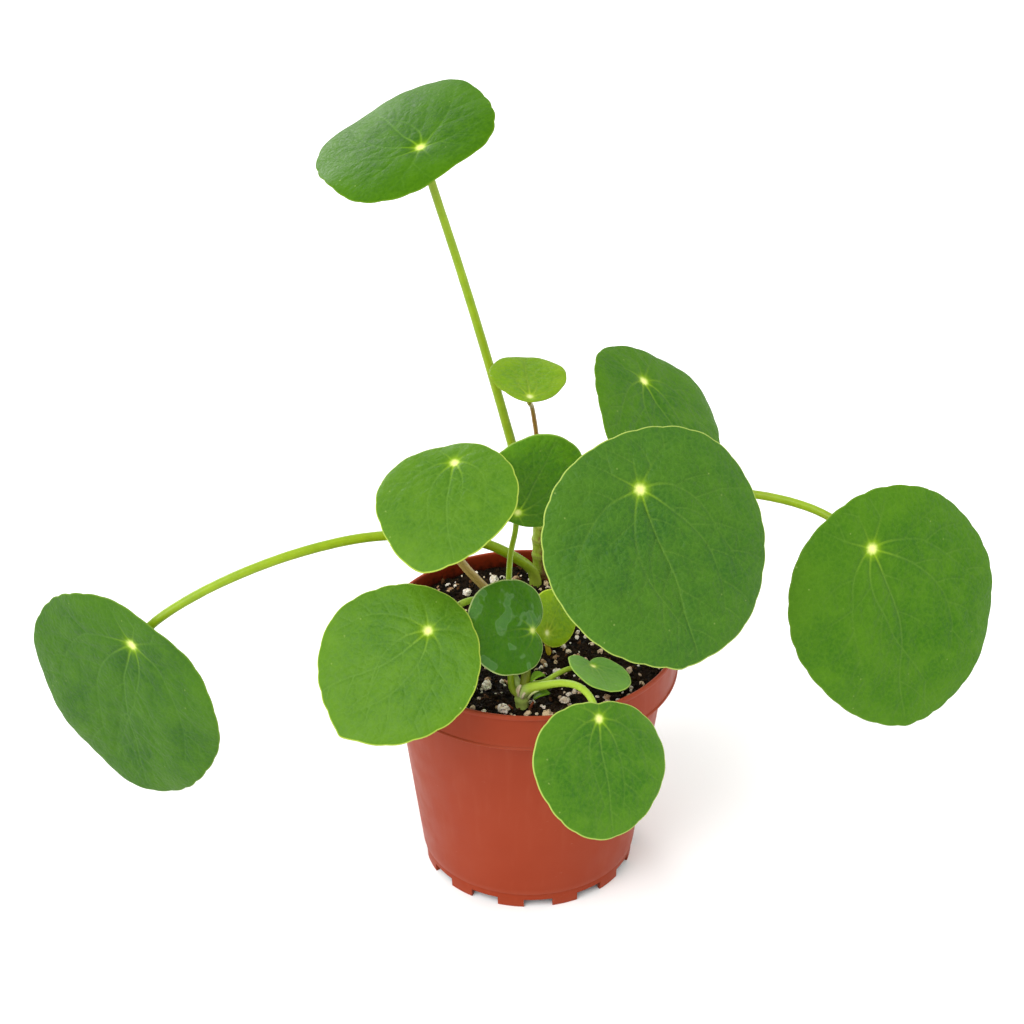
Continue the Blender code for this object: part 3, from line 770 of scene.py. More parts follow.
class Tone(Enum):
    """How old and how shaded a leaf is; each tone is one skin. The young leaf's tone carries painted sheen, and the
    yellow leaf's tone painted glow.
    """

    MATURE = PileaLeafSkin("leaf_mature")
    SUNNY = PileaLeafSkin("leaf_sunny", flesh="#345f03", deep="#275103", light="#436e04", vein="#5d8a20",
                          edge="#75921c", halo="#7aa006", spot="#d9de7c", roughness=0.42, wax=0.04, margin=0.4,
                          relief=0.35)
    PLAIN = PileaLeafSkin("leaf_plain", flesh="#3a6506", deep="#2a5904", light="#48730a", edge="#7a961e",
                          wax=0.12, margin=0.35)
    BLUISH = PileaLeafSkin("leaf_bluish", flesh="#345d0c", deep="#245010", light="#416b11", relief=1.5)
    SHADED = PileaLeafSkin("leaf_shaded", flesh="#44750a", deep="#34660a", light="#55840c", vein="#74a038",
                           edge="#8fa948", halo="#98c00a", spot="#e6ec8c", margin=0.6)
    BRIGHT = PileaLeafSkin("leaf_bright", flesh="#466f08", deep="#376306", light="#527a0e", vein="#6b9430",
                           edge="#a2b542", halo="#86a80b", relief=0.7)
    MARKED = PileaLeafSkin("leaf_marked", flesh="#386a04", deep="#295c08", light="#457604", vein="#568314",
                           edge="#b4c27a", halo="#85ac04", spot="#d4db7f", marks_and_sheen=1.0)
    COOL = PileaLeafSkin("leaf_cool", flesh="#335c0c", deep="#234c10", light="#41690f", vein="#628a36",
                         edge="#76932a", halo="#80a30b", roughness=0.55, wax=0.12, margin=0.5)
    # young leaf: paler than the old leaves, and its bluish tone is painted sheen
    YOUNG_SHEEN = PileaLeafSkin("leaf_young_painted_sheen", flesh="#5c8c26", deep="#4a7d26", light="#6c9a38", vein="#82aa50",
                          edge="#aac85a", halo="#80a30b", spot="#d8dc86", margin=0.7, relief=0.5)
    FRESH = PileaLeafSkin("leaf_fresh", flesh="#668704", deep="#547d04", light="#74930c", vein="#859b23",
                          edge="#6f850b", halo="#92ab21", spot="#c4c98b", under="#7e9246", margin=0.6)
    # yellowing leaf, brightened beyond its own colour: painted glow of light shining through it
    YELLOW_GLOW = PileaLeafSkin("leaf_yellow", flesh="#84aa04", deep="#669404", light="#9dbe04", vein="#a5c816",
                           edge="#cfe04c", halo="#c0cf48", spot="#eaf2b0", under="#a0b135", relief=0.5)


@dataclass(frozen=True)
class MainVein:
    """A vein that leaves the spot: its angle from the tip, the angle it ends at, and its bend and reach.

    The bend and the reach are for a blade one millimetre long.
    """

    angle: float
    settles: float
    bend: float
    reach: float
    strength: float


VEIN_STEP = 0.35  # millimetres between two samples of a vein
MAIN_VEINS = (MainVein(0.0, 0.0, 0.6, 0.9, 1.0), MainVein(47.0, -26.0, 3.0, 0.66, 0.78),
              MainVein(-44.0, 26.0, 3.1, 0.66, 0.78), MainVein(95.0, 0.0, 3.6, 0.62, 0.62),
              MainVein(-90.0, 0.0, 3.6, 0.62, 0.62), MainVein(140.0, 70.0, 2.2, 0.34, 0.5),
              MainVein(-138.0, -70.0, 2.2, 0.34, 0.5), MainVein(178.0, 120.0, 0.8, 0.16, 0.4))


@dataclass
class VeinNet:
    """The veins of one blade in its own plane, in millimetres from the attachment; +u runs to the tip."""

    length: float
    share_of: Any
    seed: int
    samples: list = field(default_factory=list)

    def trace(self, start: tuple[float, float], vein: MainVein, width: float, limit: float,
              chance: np.random.Generator) -> list:
        """Walk one vein over the blade and keep its samples.

        Args:
            start: where it starts.
            vein: its angle, bend, reach and strength.
            width: its half width at its start.
            limit: the share of the blade's radius where it ends.
            chance: the blade's own random numbers.

        Returns:
            The points walked, with the heading at each.
        """
        point = np.array(start, dtype=float)
        heading, settles = math.radians(vein.angle), math.radians(vein.settles)
        walked, wander = [], 0.0
        count = int(vein.reach * self.length / VEIN_STEP)
        for index in range(count):
            progress = index / max(1, count)
            fade = 1.0 - 0.6 * progress
            self.samples.append((point[0], point[1], vein.strength * fade, width * (1.0 - 0.35 * progress)))
            walked.append((point.copy(), heading))
            wander = 0.9 * wander + float(chance.normal(0.0, 0.011))
            heading += (-vein.bend / self.length * math.sin(heading - settles) + wander) * VEIN_STEP
            point = point + VEIN_STEP * np.array([math.cos(heading), math.sin(heading)])
            if self.share_of(point[0], point[1]) > limit:
                break
        return walked

    def grow(self) -> "VeinNet":
        """Grow the main veins, then their side branches and the forks of those branches."""
        chance = np.random.default_rng(self.seed)
        gap = max(4.5, self.length * 0.115)
        for order, vein in enumerate(MAIN_VEINS):
            main = self.trace((0.0, 0.0), vein, 0.34, 0.94, chance)
            outwards = math.copysign(1.0, vein.angle)
            side = 1.0 if chance.random() < 0.5 else -1.0
            travelled = float(chance.uniform(0.9, 1.4)) * gap
            for index, (point, direction) in enumerate(main):
                if index * VEIN_STEP < travelled:
                    continue
                travelled += gap * float(chance.uniform(0.55, 0.8) if order == 0 else chance.uniform(0.8, 1.2))
                side = -side if order == 0 else outwards
                away = math.degrees(direction) + side * float(chance.uniform(44.0, 62.0))
                reach = float(chance.uniform(0.14, 0.24))
                branch = self.trace(tuple(point), MainVein(away, 0.0, 2.4, reach, 0.5), 0.27, 0.93, chance)
                if len(branch) > 14:
                    middle, turned = branch[int(len(branch) * float(chance.uniform(0.45, 0.7)))]
                    fork = math.degrees(turned) - side * float(chance.uniform(40.0, 65.0))
                    self.trace(tuple(middle), MainVein(fork, 0.0, 0.6, 0.08, 0.34), 0.24, 0.94, chance)
        return self


@dataclass
class LeafBlade:
    """One round blade: its cupped shape, its veins, its scalloped margin and both its faces.

    The sizes are the CAD model's own; the place comes from the CAD node's box.
    """

    name: str
    angles: tuple[float, float, float]
    length: float
    offset: float
    egg: float
    droop: tuple[float, float]
    wave: tuple[float, ...]
    tone: Tone
    seed: int
    notch: tuple[float, float] = (0.0, 0.2)
    corner: tuple[float, float] = (0.0, 0.0)
    cup: float = 0.0
    sway: float = 1.0
    width: float = 0.97
    spacing: float = 0.45
    thickness: float = 0.6
    rim_bulge: float = 0.16
    vein_groove: float = 0.14
    puff: float = 0.55
    attachment: np.ndarray = field(default_factory=lambda: np.zeros(3))
    seat: float = 0.0

    @property
    def node(self) -> str:
        """The CAD node that the blade stands for."""
        return self.name + "_blade"

    def axes(self) -> tuple[np.ndarray, np.ndarray, np.ndarray]:
        """The blade's facing direction, the direction to its tip, and the direction across it."""
        heading, elevation, roll = (math.radians(value) for value in self.angles)
        across = Vector((math.cos(heading), math.sin(heading), 0.0))
        facing = Vector((math.sin(heading) * math.cos(elevation), -math.cos(heading) * math.cos(elevation),
                         math.sin(elevation)))
        downhill = facing.cross(across)
        if downhill.z > 0.0:
            downhill.negate()
        tip = downhill * math.cos(roll) + across * math.sin(roll)
        return np.array(facing), np.array(tip), np.array(facing.cross(tip))

    def ripple(self, angle: np.ndarray) -> np.ndarray:
        """The outline's slow waviness as a factor of its radius."""
        factor = np.ones_like(angle)
        for order in range(3):
            factor = factor + self.wave[2 * order] * np.cos((order + 2) * angle)
            factor = factor + self.wave[2 * order + 1] * np.sin((order + 2) * angle)
        return factor

    def plane(self, share: np.ndarray, angle: np.ndarray) -> tuple[np.ndarray, np.ndarray]:
        """Where a share of the radius at an angle lies in the blade's plane, without scallops."""
        factor = share * self.ripple(angle) * self.length / 2.0
        u = self.offset * self.length + factor * np.cos(angle)
        v = factor * self.width * np.sin(angle) * (1.0 + self.egg * np.cos(angle))
        return u, v

    def share_of(self, u: float, v: float) -> float:
        """About what share of the radius a point of the plane lies at."""
        along = (u - self.offset * self.length) / (self.length / 2.0)
        beside = v / (self.length * self.width / 2.0)
        return math.hypot(along, beside)

    def scalloped(self, share: np.ndarray, angle: np.ndarray) -> np.ndarray:
        """Shrink the share of points near the margin to shallow scallops and the notch."""
        chance = np.random.default_rng(self.seed + 100)
        count = max(9, int(round(math.pi * self.length / 8.5)))
        phase, other = chance.uniform(0.0, math.tau, 2)
        depth = 0.45 * min(1.0, self.length / 60.0) / (self.length / 2.0)
        teeth = np.abs(np.sin(angle * count / 2.0 + phase + 0.5 * np.sin(angle * 3.0 + other)))
        uneven = 0.45 + 0.55 * np.cos(angle * 2.0 + other) ** 2
        bite = depth * (1.0 - teeth) * uneven
        turn = np.abs(np.mod(angle, math.tau) - math.pi)
        deep, wide = self.notch
        bite = bite + deep / (self.length / 2.0) * np.exp(-(turn / wide) ** 1.5)
        place, out = self.corner
        aside = np.abs(np.angle(np.exp(1j * (angle - math.radians(place)))))
        bite = bite - out / (self.length / 2.0) * np.exp(-(aside / 0.16) ** 1.4)
        return share * (1.0 - bite * ease(share, 0.45, 1.0))

    def lift(self, u: np.ndarray, v: np.ndarray, share: np.ndarray, angle: np.ndarray) -> np.ndarray:
        """How far the upper face stands out of the plane: droop, dimple, waves and rolled margin."""
        chance = np.random.default_rng(self.seed + 200)
        phases = chance.uniform(0.0, math.tau, 4)
        size = self.length / 80.0
        height = -(self.droop[0] * u * u + self.droop[1] * v * v) / 2000.0
        height = height - 0.9 * size ** 0.5 * np.exp(-(u * u + v * v) / (3.2 * size + 1.0) ** 2)
        height = height + self.sway * size * 0.75 * share ** 3 * np.cos(3.0 * angle + phases[0])
        height = height + size * 0.45 * share ** 5 * np.cos(7.0 * angle + phases[1])
        height = height + size * 0.35 * np.sin(u / 7.5 + phases[2]) * np.cos(v / 9.0 + phases[3])
        height = height - 0.8 * size * share ** 9
        fold = ease(u, -2.0, 10.0) * np.exp(-np.abs(v) / 6.0) * (1.0 - share ** 4)
        height = height - 1.1 * size * self.tone.value.relief * fold
        return height + self.cup * share ** 2 * np.abs(np.sin(angle))

    def grid(self) -> tuple[np.ndarray, np.ndarray, np.ndarray, np.ndarray]:
        """The share of the radius and the angle of each point, the corners of each face, and the outer ring."""
        radius, angle, faces, ring = disc_grid(int(round(self.length / self.spacing)) // 2 * 2 + 1)
        angle = np.where(radius == 0.0, 0.0, angle)
        return np.abs(radius), np.where(radius < 0.0, angle + math.pi, angle), faces, ring

    def veins(self, u: np.ndarray, v: np.ndarray) -> tuple[np.ndarray, np.ndarray, np.ndarray]:
        """How strongly each point lies on a vein, how strongly beside one, where the painted shade goes, and how far
        from the nearest.
        """
        net = VeinNet(self.length, self.share_of, self.seed).grow()
        tree = kdtree.KDTree(len(net.samples))
        for index, sample in enumerate(net.samples):
            tree.insert((sample[0], sample[1], 0.0), index)
        tree.balance()
        strength, beside, distance = np.zeros(len(u)), np.zeros(len(u)), np.zeros(len(u))
        for index, (x, y) in enumerate(zip(u.tolist(), v.tolist())):
            _, nearest, gap = tree.find((x, y, 0.0))
            _, _, power, width = net.samples[nearest]
            strength[index] = power * math.exp(-(gap / width) ** 2)
            beside[index] = power * math.exp(-(gap / 1.1) ** 2)
            distance[index] = gap
        return strength, beside, distance

    def mesh(self) -> bpy.types.Mesh:
        """Make the closed blade in place, with its attributes."""
        share, angle, faces, ring = self.grid()
        u, v = self.plane(self.scalloped(share, angle), angle)
        vein, beside, distance = self.veins(u, v)
        relief = self.tone.value.relief * min(1.0, self.length / 50.0)
        height = self.lift(u, v, share, angle) - self.vein_groove * vein * relief
        height += self.puff * relief * (1.0 - np.exp(-distance / 2.4)) * (1.0 - share ** 8)
        self.seat = float(height[int(np.argmin(u * u + v * v))]) - self.thickness
        facing, tip, side = self.axes()
        top = u[:, None] * tip + v[:, None] * side + height[:, None] * facing
        total, rows = len(top), int(round(math.sqrt(len(top))))
        grid = top.reshape(rows, rows, 3)
        if np.cross(grid[1, 0] - grid[0, 0], grid[0, 1] - grid[0, 0]) @ facing < 0.0:
            faces = faces[:, ::-1]
        normal = unit(np.cross(np.gradient(grid, axis=0), np.gradient(grid, axis=1)).reshape(-1, 3))
        normal *= np.sign(normal @ facing)[:, None]
        thick = self.thickness * (1.0 - 0.45 * share[:, None] ** 6)
        bottom = top - normal * thick
        after = np.roll(top[ring], -1, axis=0) - np.roll(top[ring], 1, axis=0)
        outward = unit(np.cross(after, normal[ring]))
        outward *= np.sign(np.sum(outward * (top[ring] - top.mean(axis=0)), axis=1))[:, None]
        rim = top[ring] - normal[ring] * thick[ring] * 0.5 + outward * self.rim_bulge
        here = 2 * total + np.arange(len(ring))
        near, far = np.roll(ring, -1), np.roll(here, -1)
        walls = [np.stack([ring, here, far, near], axis=1),
                 np.stack([here, ring + total, near + total, far], axis=1)]
        low, high = box_mm(self.node)
        solid = np.concatenate([top, bottom])
        self.attachment = (low + high) / 2.0 - (solid.min(axis=0) + solid.max(axis=0)) / 2.0
        points = np.concatenate([solid, rim]) + self.attachment
        mesh = mesh_of(self.node, points, np.concatenate([faces, faces[:, ::-1] + total] + walls))
        turn_outwards(mesh)
        self.paint(mesh, ring, u, v, {"vein": vein, "painted_vein_shade": beside, "rim": share})
        return mesh

    def paint(self, mesh: bpy.types.Mesh, ring: np.ndarray, u: np.ndarray, v: np.ndarray,
              marks: dict[str, np.ndarray]) -> None:
        """Store the blade's marks, and its margin, spot, underside and plane attributes.

        Args:
            mesh: the closed blade.
            ring: the upper points that lie on the outline.
            u: the plane coordinate along the blade of each upper point.
            v: the plane coordinate across the blade of each upper point.
            marks: attribute name to its value at each upper point: vein, the painted shade beside the veins, and rim.
        """
        margin = (1.0 - marks["rim"]) * self.length / 2.0
        spot = np.hypot(u, v) / math.sqrt(self.length / 62.0)
        sides = {"vein": (marks["vein"],) * 2, "painted_vein_shade": (marks["painted_vein_shade"],) * 2, "rim": (marks["rim"],) * 2,
                 "margin": (margin, margin), "spot": (spot, spot + 9.0),
                 "underside": (np.zeros(len(u)), np.ones(len(u)))}
        edge = {"rim": 1.0, "margin": 0.0, "underside": 0.2}
        for name, (above, below) in sides.items():
            outline = np.full(len(ring), edge[name]) if name in edge else above[ring]
            store(mesh, name, np.concatenate([above, below, outline]))
        flat = np.stack([u, v, np.zeros(len(u))], axis=1)
        flat = np.concatenate([flat, flat, flat[ring]]).astype(np.float32)
        mesh.attributes.new("blade_plane", "FLOAT_VECTOR", "POINT").data.foreach_set("vector", flat.ravel())

    def build(self, skins: dict[Tone, bpy.types.Material]) -> bpy.types.Object:
        """Make and hand over the blade.

        Args:
            skins: the material of each tone.

        Returns:
            The finished blade.
        """
        piece = link_mesh(self.name + "_blade_looks", self.mesh(), skins[self.tone])
        slot = "leaf_yellow_green" if self.tone in (Tone.YELLOW_GLOW, Tone.FRESH) else "leaf_green"
        return hand_over(piece, slot, self.node)


class StalkColour(Enum):
    """The colours a stalk comes in."""

    GREEN = StalkSkin("stalk_yellow_green")
    TAN = StalkSkin("stalk_tan", body="#b59959", root="#a68b46", tip="#b2a357", shade="#93773a", flush="#a68b4b")
    BROWN = StalkSkin("stalk_brown", body="#8f6a24", root="#94702a", tip="#8a8a1c", shade="#7d5220",
                      flush="#9a4f26")
    OLIVE = StalkSkin("stalk_olive", body="#6f7a10", root="#8a8a3c", tip="#6d8a10", shade="#5c5a10",
                      flush="#7a6a18")
    PALE = StalkSkin("stalk_pale", body="#98b433", root="#b6c684", tip="#8cab24", shade="#82a026", flush="#9fae46")
    MUSTARD = StalkSkin("stalk_mustard", body="#b09a14", root="#8a6a18", tip="#b3b31c", shade="#94800f",
                        flush="#a87f1c")


@dataclass
class LeafStalk:
    """One leaf stalk: a smooth path from its root to under its blade, thicker at both ends."""

    name: str
    root: list
    through: list
    radii: tuple[float, float]
    colour: StalkColour
    foot: float = 0.32
    sides: int = 20
    ring_spacing: float = 0.8
    unevenness: float = 0.16
    hidden_end: float = 1.6

    def path(self, blade: LeafBlade) -> np.ndarray:
        """The stalk's middle line in millimetres, ending just inside the blade."""
        facing = blade.axes()[0]
        end = blade.attachment + facing * blade.seat
        return smooth_path(self.root + self.through + [tuple(end - facing * self.hidden_end), tuple(end)], 0.7)

    def thickness(self, share: np.ndarray, length: float) -> np.ndarray:
        """The radius along the stalk in millimetres, with a swollen foot and a slight flare at the blade."""
        base = self.radii[0] + (self.radii[1] - self.radii[0]) * share
        foot = self.foot * self.radii[0] * np.exp(-share * length / (3.5 + 3.0 * self.foot))
        left = (1.0 - share) * length
        flare = 0.12 * self.radii[1] * np.exp(-left / 3.0)
        return (base + foot + flare) * np.sqrt(np.clip(0.12 + left / 0.9, 0.0, 1.0))

    def build(self, blade: LeafBlade, sweep: StalkSweep,
              skins: dict[StalkColour, bpy.types.Material]) -> bpy.types.Object:
        """Sweep and hand over the stalk.

        Args:
            blade: the blade that it carries, already built.
            sweep: the shared sweep tree.
            skins: the material of each stalk colour.

        Returns:
            The finished stalk.
        """
        node = self.name + "_stalk"
        points = self.path(blade)
        share = np.linspace(0.0, 1.0, len(points))
        length = float(np.linalg.norm(np.diff(points, axis=0), axis=1).sum())
        helper = curve_object(node, points, self.thickness(share, length))
        sizes = {"Sides": self.sides, "Ring spacing": self.ring_spacing * MM, "Unevenness": self.unevenness * MM,
                 "Material": skins[self.colour]}
        piece = sweep.run(helper, node + "_looks", sizes)
        slot = "stalk_tan" if self.colour is StalkColour.TAN else "stalk_green"
        return hand_over(piece, slot, node)


def curve_object(name: str, points: np.ndarray, radii: np.ndarray) -> bpy.types.Object:
    """Make a helper curve.

    Args:
        name: the helper's name.
        points: its points in millimetres.
        radii: its radius at each point in millimetres.

    Returns:
        The linked curve object.
    """
    curve = bpy.data.curves.new(name + "_path", "CURVE")
    curve.dimensions = "3D"
    spline = curve.splines.new("POLY")
    spline.points.add(len(points) - 1)
    spline.points.foreach_set("co", np.hstack([points * MM, np.ones((len(points), 1))]).ravel())
    spline.points.foreach_set("radius", np.asarray(radii) * MM)
    helper = bpy.data.objects.new(name + "_path", curve)
    bpy.context.scene.collection.objects.link(helper)
    return helper


# --------------------------------------------------------------------------------------------------------
# Stems and small growth
# --------------------------------------------------------------------------------------------------------


@dataclass
class Stem:
    """A jointed stem: a swept core with swollen nodes and the scars of fallen leaves."""

    name: str
    slot: str
    path: list
    radii: tuple[float, float]
    nodes: tuple[float, ...]
    seed: int

    def build(self, material: bpy.types.Material) -> bpy.types.Object:
        """Make and hand over the stem.

        Args:
            material: the stem's material.

        Returns:
            The finished stem.
        """
        points = smooth_path(self.path, 0.35)
        share = np.linspace(0.0, 1.0, len(points))
        radius = self.radii[0] + (self.radii[1] - self.radii[0]) * share
        scar = np.zeros(len(points))
        for height in self.nodes:
            gap = (points[:, 2] - height) / 1.1
            radius = radius + 0.42 * np.exp(-gap ** 2) * self.radii[0] / 3.0
            scar = np.maximum(scar, np.exp(-((points[:, 2] - height - 0.5) / 0.35) ** 2))
        radius = radius * np.where(share > 0.985, np.sqrt(np.clip(1.0 - ((share - 0.985) / 0.015) ** 2, 0.2, 1)), 1)
        sides = 36
        ahead = unit(np.gradient(points, axis=0))
        first = unit(np.cross(ahead, np.array([0.0, 1.0, 0.0])))
        second = np.cross(ahead, first)
        turn = np.linspace(0.0, math.tau, sides, endpoint=False)
        chance = np.random.default_rng(self.seed)
        phases = chance.uniform(0.0, math.tau, 3)
        rings = []
        for index, point in enumerate(points):
            z = point[2]
            uneven = 1.0 + 0.03 * np.sin(3 * turn + phases[0] + z / 3.0) + 0.02 * np.sin(7 * turn + phases[1] + z)
            ring = point + (radius[index] * uneven)[:, None] * (np.cos(turn)[:, None] * first[index]
                                                                + np.sin(turn)[:, None] * second[index])
            rings.append(ring)
        vertices = np.concatenate(rings + [points[:1], points[-1:] + ahead[-1:] * 0.3])
        index = np.arange(len(points) * sides).reshape(len(points), sides)
        around = np.roll(index, -1, axis=1)
        walls = np.stack([index[:-1], around[:-1], around[1:], index[1:]], axis=-1).reshape(-1, 4).tolist()
        bottom, top = len(points) * sides, len(points) * sides + 1
        walls += [[bottom, int(around[0, k]), int(index[0, k])] for k in range(sides)]
        walls += [[top, int(index[-1, k]), int(around[-1, k])] for k in range(sides)]
        mesh = mesh_of(self.name, vertices, walls)
        turn_outwards(mesh)
        for name, column in (("scar", scar), ("along", share)):
            store(mesh, name, np.concatenate([np.repeat(column, sides), column[:1], column[-1:]]))
        return hand_over(link_mesh(self.name + "_looks", mesh, material), self.slot, self.name)


@dataclass
class FoldedLeaflet:
    """A small leaf or a bud that hasn't opened: two halves folded up along a midrib."""

    name: str
    foot: tuple[float, float, float]
    tip: tuple[float, float, float]
    width: float
    fold: float
    plump: float
    in_cad: bool

    def build(self, material: bpy.types.Material, slot: str) -> bpy.types.Object:
        """Make and hand over the leaflet.

        Args:
            material: its material.
            slot: the record's material slot.

        Returns:
            The finished leaflet.
        """
        foot, tip = np.array(self.foot), np.array(self.tip)
        ahead = (tip - foot) / np.linalg.norm(tip - foot)
        side = np.cross(ahead, [0.0, 0.0, 1.0])
        side /= np.linalg.norm(side)
        up = np.cross(side, ahead)
        rows, columns = 29, 17
        vertices = []
        for t in np.linspace(0.0, 1.0, rows):
            half = self.width / 2.0 * (math.sin(math.pi * min(1.0, t * 1.02)) ** 0.65 if 0.0 < t < 1.0 else 0.02)
            for s in np.linspace(-1.0, 1.0, columns):
                rise = self.fold * half * abs(s) ** 1.4 + 0.25 * self.width * math.sin(math.pi * t)
                vertices.append(foot + (tip - foot) * t + side * half * s + up * rise)
        mesh = mesh_of(self.name, np.array(vertices), sheet_faces(rows, columns))
        piece = link_mesh(self.name + "_looks", thickened(mesh, self.plump, 0.0, 1), material)
        return hand_over(piece, slot, *((self.name,) if self.in_cad else ()))


@dataclass
class StipuleScales:
    """Papery scales round the feet of the stems: small curled flakes, pinkish brown."""

    spots: tuple[tuple[float, float, float, float, float], ...]
    thickness: float = 0.22
    rows: int = 7
    columns: int = 5
    seed: int = 41

    def build(self, material: bpy.types.Material) -> bpy.types.Object:
        """Make and hand over all the scales as one piece.

        Args:
            material: their material.

        Returns:
            The finished scales.
        """
        chance = np.random.default_rng(self.seed)
        vertices: list = []
        faces: list = []
        for x, y, z, heading, size in self.spots:
            out = np.array([math.sin(math.radians(heading)), -math.cos(math.radians(heading)), 0.0])
            side = np.array([out[1], -out[0], 0.0])
            lean = float(chance.uniform(0.15, 0.7))
            start = len(vertices)
            for t in np.linspace(0.0, 1.0, self.rows):
                half = 0.42 * size * math.sin(math.pi * (0.18 + 0.8 * t)) ** 0.8
                for s in np.linspace(-1.0, 1.0, self.columns):
                    curl = 0.25 * size * (1.0 - s * s)
                    vertices.append(np.array([x, y, z]) + side * half * s
                                    + out * (curl + lean * size * t * t) + np.array([0.0, 0.0, size * t]))
            faces += sheet_faces(self.rows, self.columns, start)
        scales = thickened(mesh_of("stipule_scales", np.array(vertices), faces), self.thickness)
        return hand_over(link_mesh("stipule_scales", scales, material), "stem_bark")


# --------------------------------------------------------------------------------------------------------
# Pot and soil
# --------------------------------------------------------------------------------------------------------


